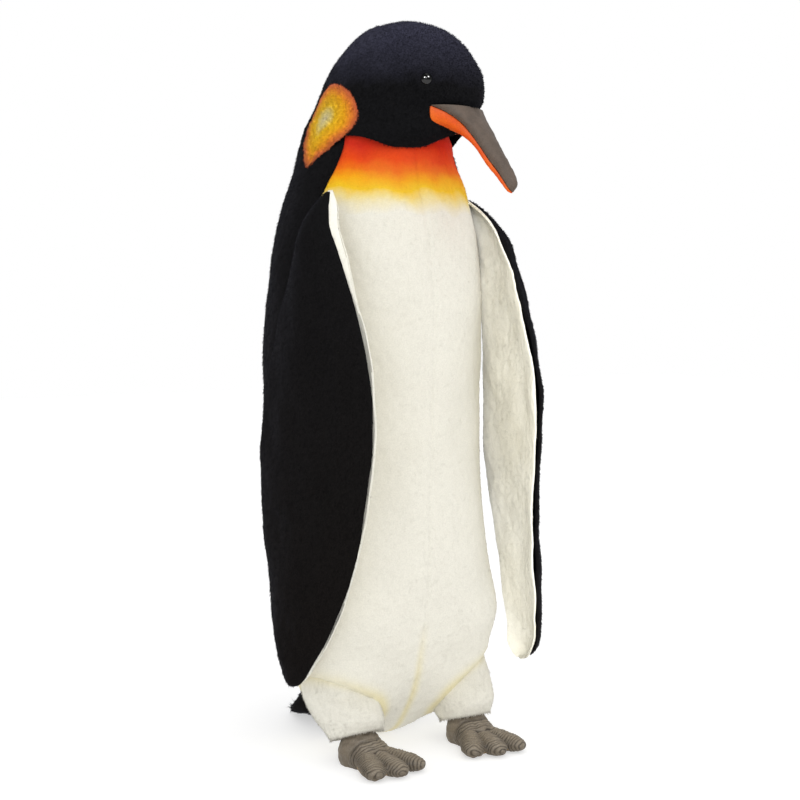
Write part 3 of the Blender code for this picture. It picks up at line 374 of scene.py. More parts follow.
# --- Materials ------------------------------------------------------------------------------------
def linear(*channels):
    """A display colour, 0 to 255, as the shader's linear one."""
    return tuple((v / 255 / 12.92) if v <= 10 else ((v / 255 + 0.055) / 1.055) ** 2.4 for v in channels)


class Look:
    """A node material in the making."""

    def __init__(self, name, roughness=0.9, sheen=0.0, sheen_tint=(1, 1, 1), specular=0.3, metallic=0.0):
        self.material = bpy.data.materials.new(name)
        self.material.use_nodes = True
        self.tree = self.material.node_tree
        self.shader = self.tree.nodes["Principled BSDF"]
        for key, value in (
            ("Roughness", roughness), ("Sheen Weight", sheen), ("Sheen Roughness", 0.45),
            ("Specular IOR Level", specular), ("Metallic", metallic),
        ):
            self.shader.inputs[key].default_value = value
        self.shader.inputs["Sheen Tint"].default_value = (*sheen_tint, 1)
        self.where = self.node("ShaderNodeTexCoord").outputs["Object"]

    def node(self, kind, **settings):
        made = self.tree.nodes.new(kind)
        for key, value in settings.items():
            setattr(made, key, value)
        return made

    def put(self, socket, value):
        if isinstance(value, bpy.types.NodeSocket):
            self.tree.links.new(value, socket)
        else:
            socket.default_value = (*value, 1) if isinstance(value, tuple) else value

    def noise(self, scale, detail, stretch=None):
        made = self.node("ShaderNodeTexNoise")
        made.inputs["Scale"].default_value = scale
        made.inputs["Detail"].default_value = detail
        place = self.where
        if stretch:
            mapping = self.node("ShaderNodeMapping")
            mapping.inputs["Scale"].default_value = stretch
            self.put(mapping.inputs["Vector"], place)
            place = mapping.outputs["Vector"]
        self.put(made.inputs["Vector"], place)
        return made.outputs["Fac"]

    def maths(self, operation, first, second):
        made = self.node("ShaderNodeMath", operation=operation)
        self.put(made.inputs[0], first)
        self.put(made.inputs[1], second)
        return made.outputs[0]

    def ramp(self, factor, stops):
        made = self.node("ShaderNodeValToRGB")
        elements = made.color_ramp.elements
        while len(elements) < len(stops):
            elements.new(0.5)
        for element, (place, colour) in zip(elements, stops):
            element.position = place
            element.color = (*colour, 1)
        self.put(made.inputs["Fac"], factor)
        return made.outputs["Color"]

    def mix(self, factor, first, second, mode="MIX"):
        made = self.node("ShaderNodeMix", data_type="RGBA", blend_type=mode)
        self.put(made.inputs[0], factor)
        self.put(made.inputs[6], first)
        self.put(made.inputs[7], second)
        return made.outputs[2]

    def spread(self, value, low, high, to_low=0.0, to_high=1.0):
        made = self.node("ShaderNodeMapRange", clamp=True)
        for key, number in (("From Min", low), ("From Max", high), ("To Min", to_low), ("To Max", to_high)):
            made.inputs[key].default_value = number
        self.put(made.inputs["Value"], value)
        return made.outputs["Result"]

    def tone(self, name):
        return self.node("ShaderNodeAttribute", attribute_name=name).outputs["Fac"]

    def height(self):
        made = self.node("ShaderNodeSeparateXYZ")
        self.put(made.inputs[0], self.where)
        return made.outputs["Z"]

    def colour(self, value):
        self.put(self.shader.inputs["Base Color"], value)
        return self

    def bump(self, *layers):
        """Bump from (height, distance, strength) layers, the first one deepest."""
        normal = None
        for height, distance, strength in layers:
            made = self.node("ShaderNodeBump")
            made.inputs["Distance"].default_value = distance
            made.inputs["Strength"].default_value = strength
            self.put(made.inputs["Height"], height)
            if normal is not None:
                self.put(made.inputs["Normal"], normal)
            normal = made.outputs["Normal"]
        self.put(self.shader.inputs["Normal"], normal)
        return self


def varied(look, base, fine=0.12, broad=0.05):
    """A colour with the pile's fine speckle, a broad drift and its strands' own shade."""
    speckle = look.spread(look.noise(620, 2), 0.3, 0.7, 1 - fine, 1 + fine)
    drift = look.spread(look.noise(14, 3), 0.3, 0.7, 1 - broad, 1 + broad)
    strand = look.spread(look.tone("strand"), 0, 1, 1 - fine, 1 + fine)
    amount = look.maths("MULTIPLY", look.maths("MULTIPLY", speckle, drift), strand)
    shade = look.node("ShaderNodeCombineXYZ")
    for axis in range(3):
        look.put(shade.inputs[axis], amount)
    return look.mix(1.0, base, shade.outputs[0], "MULTIPLY")


def plush_bump(look):
    return look.bump((look.noise(160, 3), 0.0008, 0.18), (look.noise(900, 2), 0.0005, 0.4))


def suede_bump(look, broad, fine, strength):
    """Suede's nap: a broad one this strong, and a fine one on it."""
    return look.bump((look.noise(broad, 3), *strength), (look.noise(fine, 2), 0.0003, 0.5))


def dark_plush():
    look = Look("dark_plush_pile", 0.92, 0.035, (0.62, 0.62, 0.85), specular=0.06)
    base = look.mix(look.spread(look.height(), 0.15, 0.80), linear(16, 13, 11), linear(13, 13, 15))
    # Painted highlight: toward the top of the head the pile turns bluish grey, standing in for the sheen that
    # light from above puts on the crown
    level = look.maths("ADD", look.height(), look.spread(look.noise(40, 2), 0.3, 0.7, -0.005, 0.005))
    base = look.mix(look.spread(level, 0.815, 0.925), base, linear(62, 62, 80))
    return plush_bump(look.colour(varied(look, base, 0.4, 0.08))).material


def white_plush(name, sprayed_and_shaded=True):
    """Creamy plush, sprayed yellow and orange under the chin, with a yellow tint and painted shade in the
    folds low down, and brown with painted shade at the legs' hems.
    """
    look = Look(name, 0.95, 0.02, (1, 1, 1), specular=0.06)
    if not sprayed_and_shaded:
        drift = look.spread(look.noise(6, 4), 0.35, 0.8)
        base = look.mix(drift, linear(246, 244, 234), linear(238, 234, 218))
        return plush_bump(look.colour(varied(look, base, 0.05, 0.02))).material
    level = look.maths("ADD", look.height(), look.spread(look.noise(30, 3), 0.25, 0.75, -0.006, 0.006))
    bib = look.ramp(
        look.spread(level, 0.655, 0.755),
        (
            (0.06, linear(225, 222, 210)), (0.17, linear(227, 217, 183)), (0.26, linear(228, 207, 136)),
            (0.36, linear(230, 186, 30)), (0.48, linear(231, 158, 0)), (0.60, linear(226, 106, 0)),
            (0.73, linear(222, 66, 0)), (0.92, linear(206, 30, 0)),
        ),
    )
    # Yellow tint with painted shade in the folds and along the low middle seam
    crease_tint_and_shade = look.spread(look.tone("crease_tint_and_shade"), 0, 1)
    with_crease_tint_and_shade = look.mix(crease_tint_and_shade, bib, linear(228, 214, 150))
    grubby = look.mix(look.spread(look.noise(5, 4), 0.42, 0.8, 0, 0.10), with_crease_tint_and_shade, linear(196, 186, 160))
    # Brown fibre with painted shade at the bottom of the legs' hems, over the feet
    with_hem_brown_and_shade = look.mix(look.tone("hem_brown_and_shade"), grubby, linear(92, 74, 56))
    return plush_bump(look.colour(varied(look, with_hem_brown_and_shade, 0.05, 0.02))).material


def ear_plush():
    look = Look("ear_plush_pile", 0.95, 0.1, (1, 0.9, 0.8), specular=0.12)
    share = look.maths("ADD", look.tone("rim"), look.spread(look.noise(70, 3), 0.25, 0.75, -0.035, 0.035))
    base = look.ramp(
        share,
        (
            (0.00, linear(232, 218, 172)), (0.20, linear(234, 214, 130)), (0.38, linear(238, 192, 34)),
            (0.66, linear(238, 172, 24)), (0.83, linear(230, 136, 44)), (1.00, linear(218, 108, 70)),
        ),
    )
    return plush_bump(look.colour(varied(look, base, 0.10, 0.04))).material


def beak_suede(name, colour, other, roughness, sheen=0.12):
    look = Look(name, roughness, sheen, (1, 0.95, 0.9), specular=0.3)
    mottle = look.mix(look.spread(look.noise(55, 4), 0.35, 0.7), colour, other)
    base = varied(look, mottle, 0.10, 0.06)
    return suede_bump(look.colour(base), 240, 1200, (0.0006, 0.35)).material


def foot_suede():
    look = Look("foot_suede_pleated", 0.62, 0.15, (1, 0.95, 0.85), specular=0.35)
    # Painted light and shade: lighter on faces turned up, darker in the pleat lines and between the toes, and
    # darker along the seam
    painted_light_and_shade = look.mix(look.spread(look.tone("crown"), 0.0, 1.0), linear(50, 42, 33), linear(150, 138, 120))
    mottle = look.mix(look.spread(look.noise(90, 4), 0.35, 0.75, 0, 0.5), painted_light_and_shade, linear(112, 98, 78))
    base = varied(look, mottle, 0.16, 0.08)
    return suede_bump(look.colour(base), 300, 1500, (0.0005, 0.4)).material


def plain(name, colour, other, scale, roughness, metallic=0.0, stretch=None, specular=0.4, grain=0.3):
    """A material with a grain of its own for what lies inside the covers, and for the eyes."""
    look = Look(name, roughness, specular=specular, metallic=metallic)
    base = look.mix(look.spread(look.noise(scale, 3, stretch), 0.3, 0.7), colour, other)
    return look.colour(base).bump((look.noise(scale * 4, 2, stretch), 0.0003, grain)).material


DARK = dark_plush()
WHITE = white_plush("white_plush_pile")
CREAM = white_plush("cream_plush_lining", False)
EAR = ear_plush()
BEAK_GREY = beak_suede("beak_grey_suede", linear(104, 88, 76), linear(84, 72, 62), 0.74)
BEAK_ORANGE = beak_suede("beak_orange_suede", linear(238, 104, 2), linear(230, 82, 2), 0.70, 0.02)
SUEDE = foot_suede()
GLOSS = plain(
    "gloss_black_eye", (0.003, 0.003, 0.003), (0.005, 0.005, 0.006), 90, 0.06, specular=0.5, grain=0.0
)
INSIDE = {
    "stuffing": plain("stuffing_fibre", (0.82, 0.82, 0.80), (0.68, 0.68, 0.66), 180, 1.0, grain=0.8),
    "steel_wire": plain(
        "steel_wire_drawn", (0.55, 0.55, 0.56), (0.42, 0.42, 0.43), 400, 0.35, 1.0, (1, 1, 0.1)
    ),
    "washer_nylon": plain("washer_nylon_moulded", (0.78, 0.78, 0.75), (0.70, 0.70, 0.67), 220, 0.45),
    "fibre_board": plain("fibre_board_pressed", (0.36, 0.25, 0.14), (0.26, 0.17, 0.09), 320, 0.85),
}


INSIDE_WORDS = (
    ("foot_board", "fibre_board"), ("eye_washer", "washer_nylon"),
    ("wire", "steel_wire"), ("stuffing", "stuffing"),
)


def finish_piece(piece, body, nodes=()):
    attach(piece, body)
    if nodes:
        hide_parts(*nodes)


def plush_piece(part, suffix, body, slot, look, grid, normals, nodes, fill, count, length, seed,
                thickness=COVER, closed=False, tones=None, lay=DOWN, **fibres):
    """A padded cover that stands for these nodes, and the pile on it."""
    cover = shell(part + "_plush" + suffix, grid, normals, thickness, look, closed, tones)
    finish_piece(cover, body, nodes)
    comb = pile(part + "_pile" + suffix, grid, normals, look, count, length, lay, seed,
                closed=closed, tones=tones, **fibres)
    finish_piece(comb, body)


# --- Body -----------------------------------------------------------------------------------------
def with_bottom(grid):
    """Adds rows that close the body on its lowest point."""
    rows = [BODY_BOTTOM + (grid[0] - BODY_BOTTOM) * share for share in (0.03, 0.35, 0.7)]
    for row, share in zip(rows, (0.03, 0.35, 0.7)):
        row[:, 2] = BODY_BOTTOM[2] + (grid[0, 0, 2] - BODY_BOTTOM[2]) * share**2
    return np.concatenate([np.array(rows), grid])


def fillet(distance, reach):
    """How far a smooth join pushes a surface out at this distance from the one that it meets."""
    return np.clip(1 - np.abs(distance) / reach, 0, 1) ** 2 * reach / 4


def leg_distance(grid):
    """How far each point of the belly is outside the nearer leg, level by level."""
    values = smooth(LEG_SECTIONS, np.clip(grid[..., 2], 0.020, 0.178))
    out, forward, wide, long = np.moveaxis(values, -1, 0)
    x = np.abs(grid[..., 0]) - out
    y = -grid[..., 1] - forward
    return (np.sqrt((x / wide) ** 2 + (y / long) ** 2) - 1) * np.minimum(wide, long)


def body_distance(grid):
    """How far each point of a leg is outside the body, level by level."""
    centre, front, back, half, roundness = np.moveaxis(smooth(BODY_SECTIONS, grid[..., 2]), -1, 0)
    ahead = np.clip((centre - grid[..., 1]) / front, 0, None)
    share = ((np.abs(grid[..., 0]) / half) ** roundness + ahead**roundness) ** (1 / roundness)
    return (share - 1) * front


def body_half(back, columns):
    """Grid, normals, height, and distances from the middle and from the side seams."""
    heights = even_heights(BODY_SECTIONS, STEP)
    heights = np.concatenate([heights, np.linspace(heights[-1], NECK_RISE, 12)[1:]])
    seams = np.radians(smooth(SIDE_SEAM, heights))
    if back:
        grid = section_grid(BODY_SECTIONS, heights, seams[:, 0], 2 * math.pi - seams[:, 1], columns)
    else:
        grid = section_grid(BODY_SECTIONS, heights, -seams[:, 1], seams[:, 0], columns)
    grid[..., 2] = heights[:, None]
    grid = with_bottom(grid)
    outward = grid * (1, 1, 0)
    normals = normals_of(grid, outward)
    steps = np.linalg.norm(np.diff(grid, axis=1), axis=2)
    along = np.concatenate([np.zeros((len(grid), 1)), np.cumsum(steps, axis=1)], axis=1)
    edge = np.minimum(along, along[:, -1:] - along)
    middle = np.abs(grid[..., 0])
    z = grid[..., 2]
    low_fade = np.clip((z - 0.01) / 0.05, 0, 1)
    random = np.random.default_rng(7 if back else 5)
    offset = 0.0008 + 0.0009 * waves(grid, 0.085, 11) * low_fade
    offset += 0.00015 * waves(grid, 0.016, 12) + random.normal(size=z.shape) * 0.00018
    offset -= 0.0018 * dip(edge, 0.004)
    if back:
        offset -= 0.0012 * dip(middle, 0.004) * low_fade
    else:
        pull = 0.6 + 0.4 * np.cos(z * 2 * math.pi / 0.043 + 1.3) * np.cos(z * 2 * math.pi / 0.111)
        offset -= (0.0016 * dip(middle, 0.0032) + 0.0010 * dip(middle, 0.014) * pull) * low_fade
        fold = leg_distance(grid)
        joined = fillet(fold, 0.045) - 0.0014 * dip(fold, 0.0035)
        offset += joined * np.clip((0.17 - z) / 0.03, 0, 1) * low_fade
        offset += 0.0055 * dip(z - 0.160, 0.035) * dip(np.maximum(0.12 - grid[..., 0], 0), 0.02)
        offset -= 0.0022 * np.clip((z - 0.700) / 0.03, 0, 1)
    offset -= (0.0040 if back else 0.0012) * np.clip((z - 0.7420) / 0.008, 0, 1)
    offset -= 0.0055 * np.clip((z - 0.7540) / 0.014, 0, 1)
    offset += 0.0048 * dip(z - 0.7030, 0.027) * np.clip(grid[..., 0] / 0.06, 0, 1)
    return grid + normals * offset[..., None], normals, z, middle, edge


def build_body():
    grid, normals, z, middle, edge = body_half(False, 121)
    # A yellow tint with painted shade along the low middle seam and in the folds beside the legs
    crease_tint_and_shade = 0.55 * dip(middle, 0.005) * np.clip((0.165 - z) / 0.09, 0, 1)
    fold = leg_distance(grid) - 0.006
    crease_tint_and_shade = np.clip(crease_tint_and_shade + 0.6 * dip(fold, 0.007) * np.clip((0.125 - z) / 0.05, 0, 1), 0, 1)
    plush_piece(
        "belly", "", "torso", "white_plush", WHITE, placed(grid), normals,
        ("belly_panel_left", "belly_panel_right", "torso_stuffing"),
        fill=0.8, count=48000, length=0.0032, seed=21,
        tones={"crease_tint_and_shade": crease_tint_and_shade, "hem_brown_and_shade": np.zeros_like(z)}, width=0.0007, lift=0.28,
        density=0.25 + (z > 0.02) + 2.0 * dip(edge, 0.006),
    )
    grid, normals, z, middle, edge = body_half(True, 151)
    plush_piece(
        "back", "", "torso", "dark_plush", DARK, placed(grid), normals,
        ("back_panel_left", "back_panel_right", "shoulder_wire"),
        fill=0.8, count=48000, length=0.0042, seed=22,
        width=0.0010, density=0.15 + (z > 0.02) + 2.0 * dip(edge, 0.006),
    )


# --- Head -----------------------------------------------------------------------------------------
def eye_place(side):
    """An eye's centre on the head's skin and the way it faces, in the head's own frame."""
    def at(forward, height):
        out = float(side_of_head(np.array(forward), np.array(height)))
        return np.array((side * out, -forward, height))

    step = 0.004
    place = at(EYE_FORWARD, EYE_HEIGHT)
    across = at(EYE_FORWARD + step, EYE_HEIGHT) - place
    above = at(EYE_FORWARD, EYE_HEIGHT + step) - place
    return place, unit(np.cross(above, across) * side)


def section_follow(grid, heights):
    """Moves a head grid's points to new heights, keeping each at its own angle on the section there."""
    before = smooth(HEAD_SECTIONS, grid[..., 2])
    after = smooth(HEAD_SECTIONS, np.maximum(heights, HEAD_SECTIONS[0][0]))
    front = grid[..., 1] < before[..., 0]
    grow_x = after[..., 3] / before[..., 3]
    grow_y = np.where(front, after[..., 1] / before[..., 1], after[..., 2] / before[..., 2])
    moved = (heights < HEAD_SECTIONS[-1][0]) & (grid[..., 2] < HEAD_SECTIONS[-1][0])
    x = np.where(moved, grid[..., 0] * grow_x, grid[..., 0])
    y = np.where(moved, after[..., 0] + (grid[..., 1] - before[..., 0]) * grow_y, grid[..., 1])
    return np.stack([x, y, np.where(moved, heights, grid[..., 2])], -1)


def build_head():
    heights = even_heights(HEAD_SECTIONS, STEP)
    grid = section_grid(HEAD_SECTIONS, heights, math.pi, 3 * math.pi, 200, closed=True)
    crown = [HEAD_TOP + (grid[-1] - HEAD_TOP) * share for share in (0.8, 0.6, 0.4, 0.2, 0.02)]
    for row, share in zip(crown, (0.8, 0.6, 0.4, 0.2, 0.02)):
        row[:, 2] = HEAD_TOP[2] - (HEAD_TOP[2] - grid[-1, 0, 2]) * share**2
    grid = np.concatenate([grid, np.array(crown)])
    # The hood's hem: low in front of the torso, higher at both sides of the bib, low again behind
    turned_by = np.degrees(np.arctan2(grid[0, :, 0], -grid[0, :, 1]) + HEAD_TURN)
    off_centre = np.abs((turned_by + 8 + 180) % 360 - 180)
    rise = np.clip((off_centre - 8) / 42, 0, 1) * np.clip((105 - off_centre) / 20, 0, 1)
    hem = 0.7420 + np.where((turned_by + 8) % 360 < 180, 0.0300, 0.0145) * rise**2 * (3 - 2 * rise)
    heights = grid[..., 2]
    low = heights[0, 0]
    share = np.clip((heights - low) / 0.045, 0, 1)
    grid = section_follow(grid, heights + (hem[None] - low) * (1 - share) ** 1.5)
    normals = normals_of(grid, grid - np.array((0, -0.03, 0.80)), True)
    random = np.random.default_rng(8)
    z = grid[..., 2]
    offset = 0.0006 + 0.0008 * waves(grid, 0.07, 13) + 0.0002 * waves(grid, 0.015, 14)
    offset += random.normal(size=z.shape) * 0.00018 - 0.0012 * np.clip((z - 0.84) / 0.03, 0, 1)
    offset += 0.0062 * dip(z - 0.8020, 0.012) * dip(grid[..., 0], 0.040) * (grid[..., 1] < -0.06)
    offset -= 0.0030 * dip(z - 0.7740, 0.014) * dip(grid[..., 0], 0.035) * (grid[..., 1] < -0.06)
    offset -= 0.0060 * dip(z - 0.7500, 0.012) * dip(grid[..., 0], 0.060) * (grid[..., 1] < -0.04)
    density = np.ones_like(z)
    for side in SIDES.values():
        place, _ = eye_place(side)
        distance = np.linalg.norm(grid - place, axis=-1)
        offset += 0.0012 * dip(distance - 0.0125, 0.004) - 0.0030 * dip(distance, 0.008)
        density = density * (distance > 0.0068)
    grid = grid + normals * offset[..., None]
    world = head_placed(grid)
    turned = head_placed(normals) - STAND
    plush_piece(
        "head", "", "head", "dark_plush", DARK, world, turned,
        ("head_panel_left", "head_panel_right", "head_stuffing"),
        fill=0.85, count=46000, length=0.0036, seed=23,
        lay=head_placed(np.array((0.0, 0.55, -0.85))) - STAND, density=density, closed=True,
    )
    for name, side in SIDES.items():
        build_ear(name, side)
        build_eye(name, side)


def outline_at(count):
    """The ear patch's outline as an even closed curve."""
    points = np.array(EAR_OUTLINE)
    closed = np.concatenate([points[-2:], points, points[:3]])
    index = np.arange(len(closed)) - 2
    stations = np.column_stack([index, closed])
    found = smooth([tuple(s) for s in stations], np.linspace(0, len(points), 600, endpoint=False))
    ring = np.concatenate([found, found[:1]])
    along = np.concatenate([[0], np.cumsum(np.linalg.norm(np.diff(ring, axis=0), axis=1))])
    wanted = np.linspace(0, along[-1], count, endpoint=False)
    return np.column_stack([np.interp(wanted, along, ring[:, k]) for k in range(2)])


def build_ear(name, side):
    """A small padded patch: crowned in the middle, thin and ragged at its sewn edge."""
    outline, centre = outline_at(110) + EAR_SHIFT, np.array(EAR_CENTRE) + EAR_SHIFT
    rings = np.linspace(0.02, 1.0, 22)
    flat = centre + (outline - centre)[None] * rings[:, None, None]
    out = side_of_head(flat[..., 0], flat[..., 1])
    grid = np.stack([side * out, -flat[..., 0], flat[..., 1]], -1)
    normals = normals_of(grid, np.array((side, 0.0, 0.0)), True)
    random = np.random.default_rng(31)
    puff = 0.0012 + 0.0030 * (1 - rings[:, None] ** 3) + 0.0004 * waves(grid, 0.02, 32)
    puff = puff + random.normal(size=puff.shape) * 0.0002
    grid = grid + normals * puff[..., None]
    radial = unit(grid - grid.mean(axis=(0, 1)))
    world, turned = head_placed(grid), head_placed(normals) - STAND
    rim = rings[:, None] * np.ones(len(outline))
    plush_piece(
        "ear", "_" + name, "head", "ear_plush", EAR, world, turned, ("ear_patch_" + name,),
        fill=0.7, count=7000, length=0.0036, seed=33, thickness=0.0026, closed=True, tones={"rim": rim},
        lay=(head_placed(radial) - STAND) * (rings[:, None, None] ** 2) + np.array((0, 0, -0.35)),
        density=0.8 + 1.6 * (rim > 0.9), lift=0.5,
    )


def build_eye(name, side):
    """A domed safety eye on the head's skin."""
    place, normal = eye_place(side)
    across = unit(np.cross(np.array((0, 0, 1.0)), normal))
    above = np.cross(normal, across)
    shank, dome = np.linspace(math.pi * 0.98, math.pi / 2, 8), np.linspace(math.pi / 2, 0.02, 16)
    tilts = np.concatenate([shank, dome[1:]])
    turns = np.linspace(0, 2 * math.pi, 48, endpoint=False)
    tilt, turn = np.meshgrid(tilts, turns, indexing="ij")
    deep = np.where(tilt > math.pi / 2, 0.35, 0.66)
    ball = np.stack([np.sin(tilt) * np.cos(turn), np.sin(tilt) * np.sin(turn), np.cos(tilt) * deep], -1)
    local = ball * EYE_RADIUS
    points = place + local[..., :1] * across + local[..., 1:2] * above + local[..., 2:] * normal
    points = points - normal * 0.0006
    quads = grid_quads(len(tilts), len(turns), True)
    count = len(turns)
    caps = [list(range(count))[::-1], list(range((len(tilts) - 1) * count, len(tilts) * count))]
    made = mesh_object("eye_gloss_" + name, head_placed(points), quads.tolist() + caps, GLOSS, recalc=True)
    finish_piece(made, "head", ("eye_" + name,))


# --- Beak -----------------------------------------------------------------------------------------
def beak_half(name, upper, look, node):
    """One side of the beak, closed across the seam plane, with its lips a little rounded."""
    places = np.linspace(0, 6.7, 68)
    values = smooth(BEAK_RIBS, places)
    ridge, seam, under, half = values[:, 0:2], values[:, 2:4], values[:, 4:6], values[:, 6]
    apex = ridge if upper else under
    angles = np.linspace(0, math.pi, 37)
    rise = np.sin(angles) ** (0.86 if upper else 0.8)
    grid = np.empty((len(places), 37 + 9, 3))
    gap = unit(np.column_stack([seam[:, 0] - apex[:, 0], apex[:, 1] - seam[:, 1]])) * 0.0006
    for k in range(37):
        point = seam + (apex - seam) * rise[k]
        grid[:, k] = np.column_stack([half * math.cos(angles[k]), -point[:, 0], point[:, 1]])
    for k in range(9):
        share = 1 - 2 * (k + 1) / 10
        inward = seam + (apex - seam) * 0.05 * (1 - share**2)
        grid[:, 37 + k] = np.column_stack([-half * share * 0.98, -inward[:, 0], inward[:, 1]])
    grid[..., 1] += gap[:, None, 0]
    grid[..., 2] += gap[:, None, 1]
    fade = np.clip((6.7 - places) / 1.5, 0, 1)[:, None]
    centre = grid.mean(axis=1, keepdims=True)
    way = unit(grid - centre)
    uneven = (0.0004 * waves(grid, 0.02, 41) + 0.00018 * waves(grid, 0.006, 42)) * fade
    grid = grid + way * uneven[..., None]
    count = grid.shape[1]
    quads = grid_quads(len(places), count, True).tolist()
    caps = [list(range(count)), list(range((len(places) - 1) * count, len(places) * count))]
    made = mesh_object(name, head_placed(grid), quads + caps, look, recalc=True)
    finish_piece(made, "head", (node, "beak_stuffing") if upper else (node,))


# --- Flippers -------------------------------------------------------------------------------------
FLIPPER_EDGE, FLIPPER_FULL, FLIPPER_BOW = 0.0020, 0.0090, 0.015


def turn_matrix(side_name):
    side = SIDES[side_name]
    def about(axis, angle):
        cos, sin = math.cos(angle), math.sin(angle)
        if axis == "X":
            return np.array(((1, 0, 0), (0, cos, -sin), (0, sin, cos)))
        if axis == "Y":
            return np.array(((cos, 0, sin), (0, 1, 0), (-sin, 0, cos)))
        return np.array(((cos, -sin, 0), (sin, cos, 0), (0, 0, 1)))
    hang, sweep, yaw = -side * HANG[side_name], SWEEP[side_name], -side * YAW[side_name]
    return about("Y", hang) @ about("X", sweep) @ about("Z", yaw)


def blade(name, face):
    """One face of a flipper: points, normals, and how far across and down each point is."""
    side, outline = SIDES[name], FLIPPER_OUTLINES[name]
    length, top = outline[-1][0], outline[0][0]
    downs = np.concatenate([np.arange(top, length - 0.03, 0.0032), np.linspace(length - 0.03, length, 14)])
    edges = smooth(outline, downs)
    rear, front = edges[:, 0], edges[:, 1]
    if face < 0:
        downs = downs * (1 + (0.0005 if side > 0 else -0.004) / length)
    # The lining stands out past the front edge as a pale strip, widest at the top
    strip = 0.0085 * np.clip((0.15 - downs) / 0.06, 0, 1) * np.clip((downs - top) / 0.02, 0, 1) + 0.0012
    if face < 0:
        tip_shift = (0.002 if side > 0 else -0.003) * np.clip((downs - length + 0.04) / 0.04, 0, 1)
        front = front + strip - 0.0006 + tip_shift
        rear = rear + 0.0006
    shares = np.linspace(-1, 1, 61)
    across = np.sin(shares * math.pi / 2)[None, :]
    middle, half = ((front + rear) / 2)[:, None], ((front - rear) / 2)[:, None]
    down = downs[:, None] * np.ones_like(across)
    fullness = np.clip(np.minimum((length - down) / 0.06, (down - top + 0.004) / 0.07), 0, 1)
    depth = FLIPPER_EDGE + FLIPPER_FULL * fullness * np.cos(shares * math.pi / 2)[None, :]
    depth = depth + 0.0008
    y = -(middle + half * across)
    bow = FLIPPER_BOW * np.clip((edges[:, 1] - edges[:, 0]) / 0.06, 0, 1)[:, None]
    flat = np.stack([bow * (1 - across**2), y, -down], -1)
    fade = np.clip(depth / 0.006, 0, 1)
    depth = depth + fade * (0.0009 * waves(flat, 0.07, 51 + side) + 0.0002 * waves(flat, 0.015, 52))
    tuck = 0.018 * np.clip((0.050 - (down - top)) / 0.050, 0, 1) ** 1.6
    if face > 0:
        ridge_at = 0.50 + 0.08 * np.clip((down - 0.06) / 0.1, 0, 1)
        ridge = dip((across - ridge_at) * half, 0.0045) * np.clip((down - 0.02) / 0.04, 0, 1)
        depth = depth + 0.0016 * ridge * np.clip((0.36 - down) / 0.12, 0, 1)
        rim = np.minimum(1 - np.abs(across), 1) * half
        depth = depth + 0.0006 * dip(rim - 0.004, 0.0022) * fade
    else:
        depth = depth - 0.0006 + 0.0045 * np.clip((down - length + 0.035) / 0.020, 0, 1)
    bowed = flat[..., 0] + face * depth - tuck
    local = np.stack([side * bowed, flat[..., 1], flat[..., 2]], -1)
    turn = turn_matrix(name)
    grid = local @ turn.T + np.array(SHOULDER[name])
    outward = (np.array((side * face, 0.0, 0.0))) @ turn.T
    normals = normals_of(grid, outward)
    return grid, normals, across + 0 * down, down


def build_flipper(name):
    for face, look, slot, nodes, part, count, pile_length in (
        (1, DARK, "dark_plush", ("outer", "stuffing", "wire"), "flipper_back", 24000, 0.0034),
        (-1, CREAM, "white_plush", ("inner",), "flipper_lining", 16000, 0.0030),
    ):
        grid, normals, across, down = blade(name, face)
        edge = 1 - np.abs(across)
        plush_piece(
            part, "_" + name, "flipper_" + name, slot, look, placed(grid), normals,
            ["flipper_%s_%s" % (node, name) for node in nodes], fill=0.6, count=count,
            length=pile_length, seed=61 + face + 3 * SIDES[name],
            thickness=0.0022 + 0.0008 * np.clip(edge / 0.2, 0, 1),
            tones={"crease_tint_and_shade": 0 * down, "hem_brown_and_shade": 0 * down},
        )


# --- Legs, feet and tail ----------------------------------------------------------------------------
def build_leg(name, side):
    heights = even_heights(LEG_SECTIONS, 0.0028)
    heights = np.unique(np.concatenate([heights, [0.0178]]))
    values = smooth(LEG_SECTIONS, np.maximum(heights, 0.020))
    out, forward, wide, long = (values[:, k, None] for k in range(4))
    turns = np.linspace(0, 2 * math.pi, 90, endpoint=False)[None, :]
    grid = np.stack(
        [side * out + wide * np.sin(turns), -forward - long * np.cos(turns), heights[:, None] + 0 * turns], -1
    )
    middle = np.stack([side * out, -forward, heights[:, None]], -1)
    # The hem stands higher over the instep than at the heel
    fade = np.clip((0.080 - heights[:, None]) / 0.060, 0, 1)
    lift = (0.020 if side > 0 else 0.025) * (0.5 + 0.5 * np.cos(turns)) * fade
    grid[..., 2] += lift
    normals = normals_of(grid, grid - middle, True)
    z = grid[..., 2]
    random = np.random.default_rng(70 + side)
    hem = np.clip((z - 0.019) / 0.012, 0, 1)
    offset = 0.0008 + hem * 0.0008 * waves(grid, 0.05, 71) + random.normal(size=z.shape) * 0.00018
    belly = body_distance(grid)
    offset = offset - 0.0008 * dip(belly, 0.0035)
    grid = grid + normals * offset[..., None]
    # A yellow tint with painted shade where the leg meets the belly, and brown with painted shade along the
    # hem over the foot
    tones = {
        "crease_tint_and_shade": 0.45 * dip(belly - 0.004, 0.006) * np.clip((z - 0.05) / 0.02, 0, 1),
        "hem_brown_and_shade": 0.35 * np.clip((0.021 + lift - z) / 0.003, 0, 1),
    }
    plush_piece(
        "leg", "_" + name, "torso", "white_plush", WHITE, placed(grid), normals,
        ("leg_cover_" + name, "leg_stuffing_" + name),
        fill=0.8, count=9000, length=0.0034, seed=72,
        thickness=0.0026, closed=True, tones=tones, density=1 + 2.5 * dip(z - lift - 0.020, 0.003),
    )


